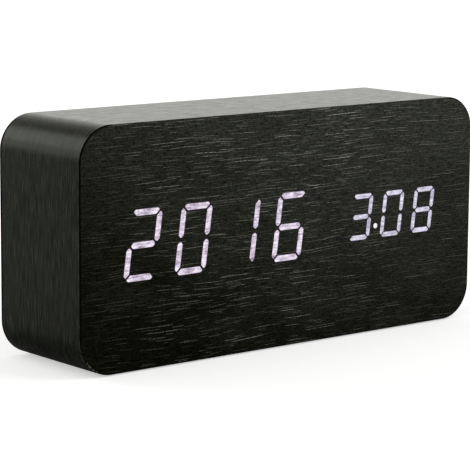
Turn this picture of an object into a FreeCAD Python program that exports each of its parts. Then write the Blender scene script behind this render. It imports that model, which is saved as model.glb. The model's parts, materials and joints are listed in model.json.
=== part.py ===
import FreeCAD, Part
import math
import os
import re
import Sketcher

# Wooden digital alarm clock, lengths in millimetres.
# +X is to the right seen from the front, the display looks towards -Y, +Z is up.
# The origin is on the table under the middle of the case.

DRIVING = {
    # Case: a block of fibre board, hollowed from the rear and wrapped in wood film
    "case_width": 150.0,
    "case_height": 70.0,
    "case_depth": 40.0,
    "corner_radius": 10.5,
    "film": 0.4,
    "front_edge_bevel": 0.25,
    "side_wall": 6.0,
    "front_wall": 3.0,
    "cavity_radius": 4.0,
    "corner_land": 9.0,
    "rabbet_ledge": 2.0,
    "rabbet_radius": 6.0,
    # Thin rubber feet
    "foot_height": 0.4,
    "foot_radius": 3.5,
    "foot_bevel": 0.15,
    "foot_tray_gap": 0.6,
    # Rear panel
    "panel_thickness": 3.0,
    "panel_gap": 0.25,
    "panel_screw_head_radius": 2.7,
    "panel_screw_head_height": 1.5,
    "panel_screw_radius": 1.3,
    "panel_screw_length": 12.0,
    # Display stack behind the front sheet
    "display_lift": 0.65,
    "window_inset": 12.0,
    "window_height": 26.0,
    "window_radius": 1.0,
    "window_gap": 0.2,
    "diffuser_thickness": 0.3,
    "mask_lap": 4.0,
    "mask_flange": 3.3,
    "board_thickness": 1.6,
    "display_screw_inset": 1.8,
    "display_screw_drop": 3.0,
    # Seven-segment figures
    "slant_degrees": 8.0,
    "big_first_inset": 9.55,
    "big_pitch": 17.93,
    "big_width": 11.2,
    "big_height": 20.2,
    "big_stroke": 1.85,
    "big_gap": 0.55,
    "big_corner": 1.7,
    "small_last_inset": 8.5,
    "small_pitch": 12.9,
    "small_width": 8.55,
    "small_height": 14.3,
    "small_stroke": 1.57,
    "small_gap": 0.38,
    "small_corner": 1.5,
    "segment_tip": 0.12,
    "dot_radius": 0.88,
    "dot_drop": 3.25,
    "lamp_length": 1.6,
    "lamp_width": 0.8,
    "lamp_height": 0.6,
    # Surface-mount chips
    "chip_leads": 8.0,
    "chip_lead_pitch": 1.27,
    "chip_lead_width": 0.4,
    "chip_lead_reach": 1.4,
    "chip_lead_height": 0.8,
    "chip_length": 10.3,
    "chip_width": 7.5,
    "chip_height": 2.0,
    "driver_spread": 60.0,
    # Control board behind the rear panel
    "control_width": 92.0,
    "control_height": 28.0,
    "control_drop": 2.0,
    "spacer_length": 5.7,
    "spacer_radius": 2.5,
    "spacer_bore": 1.2,
    "control_screw_inset": 3.0,
    "controls_rise": 4.0,
    # Self-tapping screws that hold boards and battery tray
    "board_screw_head_radius": 1.8,
    "board_screw_head_height": 1.2,
    "board_screw_radius": 0.95,
    "board_screw_bite": 1.9,
    "tray_screw_bite": 3.3,
    "screw_gap": 0.05,
    "screw_hole_gap": 0.2,
    "screw_head_gap": 0.1,
    "screw_head_bevel": 0.3,
    "screw_point_radius": 0.2,
    "screw_point_taper": 0.8,
    "pilot_end_gap": 0.3,
    "screw_sink": 0.1,
    "recess_reach": 1.1,
    "recess_width": 0.36,
    "recess_depth": 0.7,
    # Push buttons and tact switches
    "button_first_x": -32.0,
    "button_pitch": 12.0,
    "button_radius": 2.8,
    "button_proud": 1.0,
    "button_bevel": 0.3,
    "button_side_gap": 0.25,
    "button_flange_radius": 3.6,
    "button_flange_gap": 0.3,
    "button_travel": 0.5,
    "switch_size": 6.0,
    "switch_height": 3.5,
    "plunger_radius": 1.7,
    "plunger_proud": 0.9,
    "plunger_depth": 1.0,
    "plunger_side_gap": 0.05,
    "plunger_end_gap": 0.1,
    # Power inlet
    "jack_x": 34.0,
    "jack_size": 8.0,
    "jack_length": 10.0,
    "jack_face_gap": 0.2,
    "jack_bore": 1.9,
    "jack_bore_depth": 9.0,
    "jack_pin_radius": 0.65,
    "jack_pin_length": 8.0,
    "jack_ear": 1.2,
    "jack_ear_thickness": 1.0,
    "plug_recess_radius": 4.2,
    "film_hole_margin": 0.2,
    # Parts on the control board
    "microphone_x": 8.0,
    "microphone_radius": 3.0,
    "microphone_height": 2.7,
    "microphone_hole_depth": 0.5,
    "sound_hole_radius": 0.8,
    "sensor_x": 20.0,
    "sensor_bead_radius": 1.1,
    "sensor_lead_radius": 0.25,
    "sensor_lead_spread": 1.2,
    "sensor_height": 2.6,
    "processor_x": 0.0,
    "processor_drop": 2.0,
    "crystal_x": -22.0,
    "crystal_drop": 8.0,
    "crystal_radius": 1.5,
    "crystal_length": 6.0,
    "capacitor_x": 13.0,
    "capacitor_rise": 8.5,
    "capacitor_radius": 3.15,
    "capacitor_length": 8.0,
    "capacitor_crimp_height": 1.5,
    "part_bevel": 0.3,
    "buzzer_x": 20.0,
    "buzzer_drop": 5.0,
    "buzzer_radius": 6.0,
    "buzzer_height": 8.5,
    "buzzer_hole_radius": 1.0,
    "buzzer_hole_depth": 2.0,
    # Ribbon between the boards
    "ribbon_x": -14.0,
    "ribbon_width": 8.0,
    "ribbon_thickness": 0.6,
    "ribbon_bend": 4.0,
    "ribbon_drop": 4.65,
    "ribbon_rise": 6.5,
    "header_length": 10.0,
    "header_width": 5.0,
    "header_height": 5.0,
    "header_bevel": 0.4,
    # Battery tray and its door in the underside
    "cell_radius": 5.15,
    "cell_length": 43.7,
    "cell_nub_radius": 1.9,
    "cell_nub_length": 0.8,
    "cell_edge": 0.5,
    "cell_pitch": 11.0,
    "cell_play": 0.15,
    "tray_side_gap": 0.55,
    "tray_roof_gap": 0.35,
    "tray_wall": 1.2,
    "tray_flange": 2.7,
    "tray_end_margin": 5.65,
    "tray_side_margin": 3.2,
    "tray_flange_radius": 2.5,
    "tray_fit_gap": 0.15,
    "tray_screw_inset_x": 2.7,
    "tray_screw_inset_y": 5.0,
    "tray_relief_gap": 0.4,
    "plate_thickness": 0.4,
    "plate_size": 9.0,
    "plate_tab_width": 3.0,
    "plate_tab_height": 2.8,
    "tab_gap": 0.1,
    "spring_length": 5.0,
    "spring_wire": 0.35,
    "spring_base_radius": 4.0,
    "spring_tip_radius": 2.2,
    "spring_turns": 3.5,
    "door_thickness": 1.6,
    "door_lap": 2.1,
    "door_pivot_reach": 1.4,
    "door_end_reach": 1.8,
    "door_gap": 0.25,
    "door_roof_gap": 0.1,
    "tongue_reach": 2.6,
    "tongue_thickness": 0.7,
    "tongue_width": 4.0,
    "tongue_spread": 10.0,
    "tongue_ledge_gap": 0.2,
    "tongue_end_gap": 0.4,
    "latch_inset": 1.45,
    "latch_thickness": 1.0,
    "latch_width": 8.0,
    "latch_height": 2.2,
    "latch_nib": 0.5,
    "latch_gap": 0.5,
    "latch_wall_gap": 0.2,
    "grip_length": 3.0,
    "grip_width": 12.0,
    "grip_depth": 0.7,
    "grip_inset": 2.5,
    # Battery leads
    "lead_radius": 0.6,
    "lead_socket_x": -37.0,
    "lead_socket_drop": 8.0,
    "lead_socket_size": 6.0,
    "lead_socket_depth": 5.0,
    "lead_socket_pitch": 2.4,
    "lead_rise": 5.2,
    "lead_crossing_y": -0.4,
    "lead_crossing_z": 27.2,
}

# Places worked out from the driving dimensions
DERIVED = {
    "front_y": "(-case_depth / 2)",
    "rear_y": "(case_depth / 2)",
    "base_z": "foot_height",
    "mid_z": "(foot_height + case_height / 2)",
    "core_width": "(case_width - 2 * film)",
    "core_height": "(case_height - 2 * film)",
    "core_radius": "(corner_radius - film)",
    "core_front_y": "(front_y + film)",
    "core_rear_y": "(rear_y - film)",
    "wall_rear_y": "(core_front_y + front_wall)",
    "panel_front_y": "(core_rear_y - panel_thickness)",
    "cavity_width": "(core_width - 2 * side_wall)",
    "cavity_height": "(core_height - 2 * side_wall)",
    "rabbet_width": "(cavity_width + 2 * rabbet_ledge)",
    "rabbet_height": "(cavity_height + 2 * rabbet_ledge)",
    "panel_width": "(rabbet_width - 2 * panel_gap)",
    "panel_height": "(rabbet_height - 2 * panel_gap)",
    "panel_radius": "(rabbet_radius - panel_gap)",
    "panel_screw_x": "(cavity_width / 2 - corner_land / 2)",
    "panel_screw_up": "(cavity_height / 2 - corner_land / 2)",
    "panel_screw_y": "(rear_y - screw_sink)",
    "display_z": "(mid_z + display_lift)",
    "window_width": "(case_width - 2 * window_inset)",
    "big_first_x": "(big_first_inset - window_width / 2)",
    "small_first_x": "(window_width / 2 - small_last_inset - 2 * small_pitch)",
    "insert_width": "(window_width - 2 * window_gap)",
    "insert_height": "(window_height - 2 * window_gap)",
    "insert_radius": "(window_radius - window_gap)",
    "mask_front_y": "(core_front_y + diffuser_thickness)",
    "mask_rear_y": "(wall_rear_y + mask_flange)",
    "display_board_rear_y": "(mask_rear_y + board_thickness)",
    "mask_width": "(window_width + 2 * mask_lap)",
    "mask_height": "(window_height + 2 * mask_lap)",
    "display_screw_spread_x": "(mask_width - 2 * display_screw_inset)",
    "display_screw_spread_z": "(mask_height - 2 * display_screw_drop)",
    "board_screw_hole": "(board_screw_radius + screw_hole_gap)",
    "board_screw_pilot": "(board_screw_radius + screw_gap)",
    "board_rear_y": "(panel_front_y - spacer_length)",
    "board_front_y": "(board_rear_y - board_thickness)",
    "switch_top_y": "(board_rear_y + switch_height)",
    "plunger_top_y": "(switch_top_y + plunger_proud)",
    "jack_face_y": "(panel_front_y - jack_face_gap)",
    "controls_z": "(mid_z + controls_rise)",
    "control_z": "(controls_z - control_drop)",
    "control_screw_spread_x": "(control_width - 2 * control_screw_inset)",
    "control_screw_spread_z": "(control_height - 2 * control_screw_inset)",
    "processor_z": "(control_z - processor_drop)",
    "crystal_z": "(control_z - crystal_drop)",
    "capacitor_z": "(control_z + capacitor_rise)",
    "buzzer_z": "(control_z - buzzer_drop)",
    "lead_socket_z": "(control_z - lead_socket_drop)",
    "ribbon_low_z": "(display_z - ribbon_drop)",
    "ribbon_high_z": "(control_z + ribbon_rise)",
    "tray_roof_z": "(base_z + door_thickness + door_roof_gap + 2 * cell_play + 2 * cell_radius + tray_roof_gap)",
    "cell_z": "(base_z + door_thickness + door_roof_gap + cell_play + cell_radius)",
    "tray_length": "(2 * (cell_length + cell_nub_length) + spring_length + 2 * plate_thickness)",
    "tray_width": "(cell_pitch + 2 * cell_radius + 2 * tray_side_gap)",
    "tray_shell_length": "(tray_length + 2 * tray_wall)",
    "tray_shell_width": "(tray_width + 2 * tray_wall)",
    "flange_top_z": "(base_z + tray_flange)",
    "tray_screw_z": "(base_z + screw_sink)",
    "tray_screw_seat": "(screw_sink + board_screw_head_height)",
    "door_top_z": "(base_z + door_thickness)",
    "door_pivot_x": "(-tray_shell_length / 2 - door_pivot_reach)",
    "door_free_end_x": "(tray_shell_length / 2 + door_end_reach)",
    "door_width": "(tray_width + 2 * door_lap)",
    "tray_flange_length": "(2 * door_opening_high_x + 2 * tray_end_margin)",
    "tray_flange_width": "(door_width + 2 * tray_side_margin)",
    "tray_screw_spread_x": "(tray_flange_length - 2 * tray_screw_inset_x)",
    "tray_screw_spread_y": "(tray_flange_width - 2 * tray_screw_inset_y)",
    "tray_relief_length": "(2 * (tongue_reach + tongue_end_gap + tray_relief_gap - door_pivot_x))",
    "tray_relief_width": "(tongue_spread + tongue_width + 5 * tray_relief_gap)",
    "foot_spread_x": "(tray_flange_length + 2 * foot_radius + 2 * foot_tray_gap)",
    "foot_spread_y": "(tray_flange_width - 2 * foot_radius)",
    "door_pivot_z": "(base_z + door_thickness / 2)",
    "door_opening_low_x": "(door_pivot_x - door_thickness / 2 - door_gap)",
    "door_opening_high_x": "(door_free_end_x + door_gap)",
    "tongue_z": "(door_top_z - tongue_thickness)",
    "plate_z": "(tray_roof_z - plate_size)",
}

document = FreeCAD.newDocument("wooden_alarm_clock")
sheet = document.addObject("Spreadsheet::Sheet", "Sizes")
for row, (name, number) in enumerate(DRIVING.items(), start=1):
    sheet.set("A%d" % row, name)
    sheet.set("B%d" % row, str(number))
    sheet.setAlias("B%d" % row, name)
document.recompute()

NODES = []
WORD = re.compile(r"[a-z_]+[a-z0-9_]*")
# Share of a lead's shorter run that a bend may take
BEND_SHARE = 0.45


def formula(text):
    """Turn words such as 'case_depth / 2' into an expression on the sheet."""
    def cell(match):
        word = match.group(0)
        if word in DERIVED:
            return formula(DERIVED[word])
        if word in DRIVING:
            return "Sizes." + word
        return word
    return WORD.sub(cell, str(text))


def number(text):
    return float(sheet.evalExpression(formula(text)))


def bind(item, path, text):
    item.setExpression(path, formula(text))


PLANES = {"XY": ("XY_Plane", 1), "XZ": ("XZ_Plane", -1), "YZ": ("YZ_Plane", 1)}


def place(item, x="0", y="0", z="0", axis=(0, 0, 1), angle=0.0):
    """Put a sub-part at a place bound to the sheet."""
    turn = FreeCAD.Rotation(FreeCAD.Vector(*axis), angle)
    item.Placement = FreeCAD.Placement(FreeCAD.Vector(number(x), number(y), number(z)), turn)
    for letter, text in zip("xyz", (x, y, z)):
        bind(item, "Placement.Base." + letter, text)


def keep(item, label):
    item.Label = label
    NODES.append(item)
    return item


def body_named(label):
    return keep(document.addObject("PartDesign::Body", label), label)


def sketch_on(body, plane, level="0"):
    """A sketch on one of the body's own origin planes, moved to a level along the plane's axis."""
    role, sign = PLANES[plane]
    sketch = body.newObject("Sketcher::SketchObject", body.Name + "_outline")
    support = [item for item in body.Origin.OriginFeatures if item.Role == role][0]
    sketch.AttachmentSupport = (support, [""])
    sketch.MapMode = "FlatFace"
    bind(sketch, "AttachmentOffset.Base.z", "%d * (%s)" % (sign, level))
    return sketch


def measure(sketch, constraint, text):
    index = sketch.addConstraint(constraint)
    bind(sketch, "Constraints[%d]" % index, text)


def pin_point(sketch, geometry, point, x, y):
    """Tie one point of the sketch to its place from the sketch's origin."""
    measure(sketch, Sketcher.Constraint("DistanceX", -1, 1, geometry, point, number(x)), x)
    measure(sketch, Sketcher.Constraint("DistanceY", -1, 1, geometry, point, number(y)), y)


def circle(sketch, radius, x="0", y="0"):
    centre = FreeCAD.Vector(number(x), number(y), 0)
    ring = sketch.addGeometry(Part.Circle(centre, FreeCAD.Vector(0, 0, 1), number(radius)), False)
    measure(sketch, Sketcher.Constraint("Radius", ring, number(radius)), radius)
    pin_point(sketch, ring, 3, x, y)


def polygon(sketch, points):
    """A closed outline whose corners are all tied to the sheet."""
    corners = [FreeCAD.Vector(number(x), number(y), 0) for x, y in points]
    count = len(corners)
    lines = [Part.LineSegment(corners[i], corners[(i + 1) % count]) for i in range(count)]
    edges = sketch.addGeometry(lines, False)
    for i in range(count):
        following = edges[(i + 1) % count]
        sketch.addConstraint(Sketcher.Constraint("Coincident", edges[i], 2, following, 1))
    for edge, (x, y) in zip(edges, points):
        pin_point(sketch, edge, 1, x, y)


def rectangle(sketch, low_x, low_y, high_x, high_y):
    polygon(sketch, [(low_x, low_y), (high_x, low_y), (high_x, high_y), (low_x, high_y)])


def centred(sketch, width, height, x="0", y="0"):
    low_x = "%s - (%s) / 2" % (x, width)
    high_x = "%s + (%s) / 2" % (x, width)
    low_y = "%s - (%s) / 2" % (y, height)
    high_y = "%s + (%s) / 2" % (y, height)
    rectangle(sketch, low_x, low_y, high_x, high_y)


def rounded(sketch, width, height, radius, x="0", y="0"):
    """A rectangle with four equal round corners, sized and centred by the sheet."""
    wide = number(width)
    high = number(height)
    round_off = number(radius)
    left = number(x) - wide / 2
    low = number(y) - high / 2
    right = left + wide
    top = low + high

    def corner(centre_x, centre_y, start):
        centre = FreeCAD.Vector(centre_x, centre_y, 0)
        ring = Part.Circle(centre, FreeCAD.Vector(0, 0, 1), round_off)
        return Part.ArcOfCircle(ring, math.radians(start), math.radians(start + 90))

    def line(start_x, start_y, end_x, end_y):
        return Part.LineSegment(FreeCAD.Vector(start_x, start_y, 0), FreeCAD.Vector(end_x, end_y, 0))

    edges = sketch.addGeometry([
        line(left + round_off, low, right - round_off, low),
        corner(right - round_off, low + round_off, 270),
        line(right, low + round_off, right, top - round_off),
        corner(right - round_off, top - round_off, 0),
        line(right - round_off, top, left + round_off, top),
        corner(left + round_off, top - round_off, 90),
        line(left, top - round_off, left, low + round_off),
        corner(left + round_off, low + round_off, 180),
    ], False)
    for i in range(8):
        following = edges[(i + 1) % 8]
        sketch.addConstraint(Sketcher.Constraint("Tangent", edges[i], 2, following, 1))
    for i, kind in ((0, "Horizontal"), (4, "Horizontal"), (2, "Vertical"), (6, "Vertical")):
        sketch.addConstraint(Sketcher.Constraint(kind, edges[i]))
    for i in (3, 5, 7):
        sketch.addConstraint(Sketcher.Constraint("Equal", edges[1], edges[i]))
    measure(sketch, Sketcher.Constraint("Radius", edges[1], round_off), radius)
    measure(sketch, Sketcher.Constraint("DistanceX", edges[6], 1, edges[2], 1, wide), width)
    measure(sketch, Sketcher.Constraint("DistanceY", edges[0], 1, edges[4], 1, high), height)
    side = "%s + (%s) / 2" % (x, width)
    head = "%s + (%s) / 2" % (y, height)
    measure(sketch, Sketcher.Constraint("DistanceX", -1, 1, edges[2], 1, right), side)
    measure(sketch, Sketcher.Constraint("DistanceY", -1, 1, edges[4], 1, top), head)


def pad(body, plane, level, length, draw):
    """Grow an outline from a level towards the plus side of the plane's axis."""
    sketch = sketch_on(body, plane, level)
    draw(sketch)
    document.recompute()
    feature = body.newObject("PartDesign::Pad", body.Name + "_pad")
    feature.Profile = sketch
    feature.Reversed = PLANES[plane][1] < 0
    bind(feature, "Length", length)
    document.recompute()
    return feature


def pocket(body, plane, level, length, draw):
    """Cut an outline from a level towards the plus side of the plane's axis."""
    before = body.Shape.Volume
    sketch = sketch_on(body, plane, level)
    draw(sketch)
    document.recompute()
    feature = body.newObject("PartDesign::Pocket", body.Name + "_pocket")
    feature.Profile = sketch
    feature.Reversed = PLANES[plane][1] > 0
    bind(feature, "Length", length)
    document.recompute()
    if body.Shape.Volume >= before:
        raise RuntimeError("a pocket in %s cuts nothing" % body.Label)
    return feature


def turned(body, points):
    """A solid of revolution about the body's own Y axis, from (radius, height) corners."""
    sketch = sketch_on(body, "XY")
    polygon(sketch, points)
    document.recompute()
    feature = body.newObject("PartDesign::Revolution", body.Name + "_turned")
    feature.Profile = sketch
    feature.ReferenceAxis = (sketch, ["V_Axis"])
    feature.Angle = 360.0
    document.recompute()
    return feature


def grid(body, features, sketch, spread, other_spread, other_axis="N_Axis", count=2, other_count=2):
    """Repeat features in a grid along the sketch's own axes."""
    pattern = body.newObject("PartDesign::LinearPattern", body.Name + "_grid")
    pattern.Originals = features
    pattern.Direction = (sketch, ["H_Axis"])
    pattern.Occurrences = count
    bind(pattern, "Length", spread)
    if other_count > 1:
        pattern.Direction2 = (sketch, [other_axis])
        pattern.Occurrences2 = other_count
        bind(pattern, "Length2", other_spread)
    body.Tip = pattern
    document.recompute()
    return pattern


def bevel(body, size, wanted):
    """Chamfer the edges of the body's last feature that the test picks."""
    base = body.Tip
    names = []
    for i, edge in enumerate(base.Shape.Edges, start=1):
        if wanted(edge):
            names.append("Edge%d" % i)
    feature = body.newObject("PartDesign::Chamfer", body.Name + "_bevel")
    feature.Base = (base, names)
    bind(feature, "Size", size)
    document.recompute()
    return feature


def flat_edge(edge, axis, level):
    """True for an edge that lies wholly at one level of an axis."""
    middle = edge.valueAt((edge.FirstParameter + edge.LastParameter) / 2)
    spots = [vertex.Point for vertex in edge.Vertexes] + [middle]
    return all(abs(getattr(spot, axis) - number(level)) < 1e-6 for spot in spots)


# Case and film

def case_body():
    body = body_named("case_body")
    core_depth = "core_rear_y - core_front_y"
    pad(body, "XZ", "core_front_y", core_depth,
        lambda s: rounded(s, "core_width", "core_height", "core_radius", "0", "mid_z"))
    cavity_depth = "core_rear_y - wall_rear_y"
    pocket(body, "XZ", "wall_rear_y", cavity_depth,
           lambda s: rounded(s, "cavity_width", "cavity_height - 2 * corner_land",
                             "cavity_radius", "0", "mid_z"))
    pocket(body, "XZ", "wall_rear_y", cavity_depth,
           lambda s: rounded(s, "cavity_width - 2 * corner_land", "cavity_height",
                             "cavity_radius", "0", "mid_z"))
    pocket(body, "XZ", "panel_front_y", "panel_thickness",
           lambda s: rounded(s, "rabbet_width", "rabbet_height", "rabbet_radius", "0", "mid_z"))
    pocket(body, "XZ", "core_front_y", "front_wall",
           lambda s: rounded(s, "window_width", "window_height", "window_radius",
                             "0", "display_z"))
    pocket(body, "XY", "base_z + film", "tray_flange - film",
           lambda s: rounded(s, "tray_flange_length + 2 * tray_fit_gap",
                             "tray_flange_width + 2 * tray_fit_gap",
                             "tray_flange_radius + tray_fit_gap"))
    floor_left = "side_wall + film - tray_flange"
    pocket(body, "XY", "flange_top_z", floor_left,
           lambda s: centred(s, "tray_shell_length + 2 * window_gap",
                             "tray_shell_width + 2 * window_gap"))
    pocket(body, "XY", "flange_top_z", floor_left,
           lambda s: centred(s, "tray_relief_length", "tray_relief_width"))

    def panel_pilots(sketch):
        for side in ("-", "+"):
            for rise in ("-", "+"):
                circle(sketch, "panel_screw_radius + screw_gap", "%s panel_screw_x" % side,
                       "mid_z %s panel_screw_up" % rise)
    pilot_depth = "panel_screw_length - panel_thickness - film + pilot_end_gap"
    pocket(body, "XZ", "panel_front_y - (%s)" % pilot_depth, pilot_depth, panel_pilots)

    def display_pilots(sketch):
        for side in ("-", "+"):
            for rise in ("-", "+"):
                circle(sketch, "board_screw_pilot", "%s display_screw_spread_x / 2" % side,
                       "display_z %s display_screw_spread_z / 2" % rise)
    pocket(body, "XZ", "wall_rear_y - board_screw_bite - pilot_end_gap", "board_screw_bite + pilot_end_gap",
           display_pilots)

    def tray_pilots(sketch):
        for side in ("-", "+"):
            for rise in ("-", "+"):
                circle(sketch, "board_screw_pilot", "%s tray_screw_spread_x / 2" % side,
                       "%s tray_screw_spread_y / 2" % rise)
    pocket(body, "XY", "flange_top_z", "tray_screw_bite + pilot_end_gap", tray_pilots)


def perimeter_wrap():
    """Wood film glued round the sides and folded over the rear rim."""
    body = body_named("perimeter_wrap")
    pad(body, "XZ", "core_front_y", "rear_y - core_front_y",
        lambda s: rounded(s, "case_width", "case_height", "corner_radius", "0", "mid_z"))
    pocket(body, "XZ", "core_front_y", "core_rear_y - core_front_y",
           lambda s: rounded(s, "core_width", "core_height", "core_radius", "0", "mid_z"))
    pocket(body, "XZ", "core_rear_y", "film",
           lambda s: rounded(s, "rabbet_width", "rabbet_height", "rabbet_radius", "0", "mid_z"))
    pocket(body, "XY", "base_z", "film",
           lambda s: rounded(s, "tray_flange_length + 2 * tray_fit_gap",
                             "tray_flange_width + 2 * tray_fit_gap",
                             "tray_flange_radius + tray_fit_gap"))


def front_veneer():
    """One unbroken sheet over the whole front, thin enough for the display to shine through."""
    body = body_named("front_veneer")
    pad(body, "XZ", "front_y", "film",
        lambda s: rounded(s, "case_width", "case_height", "corner_radius", "0", "mid_z"))
    bevel(body, "front_edge_bevel", lambda edge: flat_edge(edge, "y", "front_y"))


def control_holes(sketch, margin):
    """Openings of the rear panel in line with the control board, each widened by a margin."""
    for i in range(3):
        circle(sketch, "button_radius + button_side_gap + %s" % margin,
               "button_first_x + %d * button_pitch" % i, "controls_z")
    circle(sketch, "plug_recess_radius + %s" % margin, "jack_x", "controls_z")
    circle(sketch, "sound_hole_radius + %s" % margin, "microphone_x", "controls_z")


def corner_circles(sketch, radius):
    for side in ("-", "+"):
        for rise in ("-", "+"):
            circle(sketch, radius, "%s panel_screw_x" % side, "mid_z %s panel_screw_up" % rise)


def rear_panel():
    body = body_named("rear_panel")
    pad(body, "XZ", "panel_front_y", "panel_thickness",
        lambda s: rounded(s, "panel_width", "panel_height", "panel_radius", "0", "mid_z"))
    pocket(body, "XZ", "panel_front_y", "panel_thickness", lambda s: control_holes(s, "0"))
    pocket(body, "XZ", "panel_front_y", "panel_thickness",
           lambda s: corner_circles(s, "panel_screw_radius + screw_hole_gap"))
    seat_depth = "screw_sink + panel_screw_head_height - film"
    pocket(body, "XZ", "core_rear_y - (%s)" % seat_depth, seat_depth,
           lambda s: corner_circles(s, "panel_screw_head_radius + screw_head_gap"))

    def spacer_pilots(sketch):
        for side in ("-", "+"):
            for rise in ("-", "+"):
                circle(sketch, "board_screw_pilot", "%s control_screw_spread_x / 2" % side,
                       "control_z %s control_screw_spread_z / 2" % rise)
    pocket(body, "XZ", "panel_front_y", "board_screw_bite + screw_head_gap", spacer_pilots)


def rear_veneer():
    body = body_named("rear_veneer")
    pad(body, "XZ", "core_rear_y", "film",
        lambda s: rounded(s, "panel_width", "panel_height", "panel_radius", "0", "mid_z"))
    pocket(body, "XZ", "core_rear_y", "film", lambda s: control_holes(s, "film_hole_margin"))
    pocket(body, "XZ", "core_rear_y", "film",
           lambda s: corner_circles(s, "panel_screw_head_radius + screw_head_gap"))


def cross_outline(sketch):
    """Outline of the cross recess in a screw's head."""
    reach = "recess_reach"
    half = "recess_width"
    polygon(sketch, [
        (reach, "-" + half), (reach, half), (half, half), (half, reach),
        ("-" + half, reach), ("-" + half, half), ("-" + reach, half), ("-" + reach, "-" + half),
        ("-" + half, "-" + half), ("-" + half, "-" + reach), (half, "-" + reach),
        (half, "-" + half),
    ])


def screws(label, head_radius, head_height, shank_radius, length, spread, other_spread):
    """Four like screws: head tops at the body's level 0, shanks towards minus Y."""
    body = body_named(label)
    tip = "(%s) * screw_point_taper" % shank_radius
    shaft = turned(body, [
        ("0", "0"),
        ("%s - screw_head_bevel" % head_radius, "0"),
        (head_radius, "-screw_head_bevel"),
        (head_radius, "-(%s)" % head_height),
        (shank_radius, "-(%s)" % head_height),
        (shank_radius, "-(%s) + (%s)" % (length, tip)),
        ("screw_point_radius", "-(%s)" % length),
        ("0", "-(%s)" % length),
    ])
    recess = pocket(body, "XZ", "-recess_depth", "recess_depth", cross_outline)
    grid(body, [shaft, recess], shaft.Profile[0], spread, other_spread)
    return body


def rear_panel_screws():
    body = screws("rear_panel_screws", "panel_screw_head_radius", "panel_screw_head_height",
                  "panel_screw_radius", "panel_screw_length",
                  "2 * panel_screw_x", "2 * panel_screw_up")
    place(body, "-panel_screw_x", "panel_screw_y", "mid_z - panel_screw_up")


def foot_pads():
    body = body_named("foot_pads")
    disc = turned(body, [
        ("0", "0"),
        ("foot_radius - foot_bevel", "0"),
        ("foot_radius", "foot_bevel"),
        ("foot_radius", "foot_height"),
        ("0", "foot_height"),
    ])
    grid(body, [disc], disc.Profile[0], "foot_spread_x", "foot_spread_y")
    place(body, "-foot_spread_x / 2", "foot_spread_y / 2", "0", (1, 0, 0), 90.0)


# Display

def seven_segments(prefix):
    """Outlines of the seven strokes of one upright figure about its centre, by letter."""
    wide = number(prefix + "_width") / 2
    high = number(prefix + "_height") / 2
    stroke = number(prefix + "_stroke")
    mitre = number(prefix + "_gap") / math.sqrt(2)
    corner = number(prefix + "_corner")
    tip = number("segment_tip")
    along = (corner - mitre) / 2
    crown = [
        (-wide + corner, high), (wide - corner, high),
        (wide - mitre - along, high - along),
        (wide - mitre - stroke, high - stroke),
        (-wide + mitre + stroke, high - stroke),
        (-wide + mitre + along, high - along),
    ]
    shoulder = mitre + stroke / 2
    upright = [
        (-wide, high - corner),
        (-wide + along, high - mitre - along),
        (-wide + stroke, high - mitre - stroke),
        (-wide + stroke, shoulder),
        (-wide + stroke / 2 + tip, mitre + tip),
        (-wide + stroke / 2 - tip, mitre + tip),
        (-wide, shoulder),
    ]
    end = wide - stroke / 2 - mitre
    bar = [
        (-end + tip, tip), (-end + stroke / 2, stroke / 2), (end - stroke / 2, stroke / 2),
        (end - tip, tip), (end - tip, -tip), (end - stroke / 2, -stroke / 2),
        (-end + stroke / 2, -stroke / 2), (-end + tip, -tip),
    ]

    def flip(points, across, over):
        return [(across * x, over * z) for x, z in points]
    return {
        "a": crown, "d": flip(crown, 1, -1), "g": bar,
        "f": upright, "b": flip(upright, -1, 1),
        "e": flip(upright, 1, -1), "c": flip(upright, -1, -1),
    }


def figure_centres():
    """Each figure's size family and centre, from left to right."""
    centres = [("big", number("big_first_x + %d * big_pitch" % i)) for i in range(4)]
    centres += [("small", number("small_first_x + %d * small_pitch" % i)) for i in range(3)]
    return centres


def dot_centres():
    """The two dots of each group's colon, leaning with the figures."""
    lean = math.tan(math.radians(number("slant_degrees")))
    drop = number("dot_drop")
    middles = (number("big_first_x + 1.5 * big_pitch"), number("small_first_x + 0.5 * small_pitch"))
    return [(x + side * drop * lean, number("display_z") + side * drop)
            for x in middles for side in (-1, 1)]


def slanted(points, centre_x):
    lean = math.tan(math.radians(number("slant_degrees")))
    height = number("display_z")
    return [(centre_x + x + z * lean, height + z) for x, z in points]


def free_loop(sketch, points):
    """A closed outline worked out from the sheet's values."""
    corners = [FreeCAD.Vector(x, z, 0) for x, z in points]
    count = len(corners)
    lines = [Part.LineSegment(corners[i], corners[(i + 1) % count]) for i in range(count)]
    sketch.addGeometry(lines, False)


def segment_mask():
    """Black moulding with one light well for each stroke and dot."""
    body = body_named("segment_mask")
    pad(body, "XZ", "mask_front_y", "wall_rear_y - mask_front_y",
        lambda s: rounded(s, "insert_width", "insert_height", "insert_radius", "0", "display_z"))
    pad(body, "XZ", "wall_rear_y", "mask_flange",
        lambda s: rounded(s, "mask_width", "mask_height", "window_radius", "0", "display_z"))

    def wells(sketch):
        for family, x in figure_centres():
            for outline in seven_segments(family).values():
                free_loop(sketch, slanted(outline, x))
        for x, z in dot_centres():
            ring = Part.Circle(FreeCAD.Vector(x, z, 0), FreeCAD.Vector(0, 0, 1),
                               number("dot_radius"))
            sketch.addGeometry(ring, False)
    pocket(body, "XZ", "mask_front_y", "mask_rear_y - mask_front_y", wells)
    pocket(body, "XZ", "wall_rear_y", "mask_flange", display_screw_holes)


def display_screw_holes(sketch):
    for side in ("-", "+"):
        for rise in ("-", "+"):
            circle(sketch, "board_screw_hole", "%s display_screw_spread_x / 2" % side,
                   "display_z %s display_screw_spread_z / 2" % rise)


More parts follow.
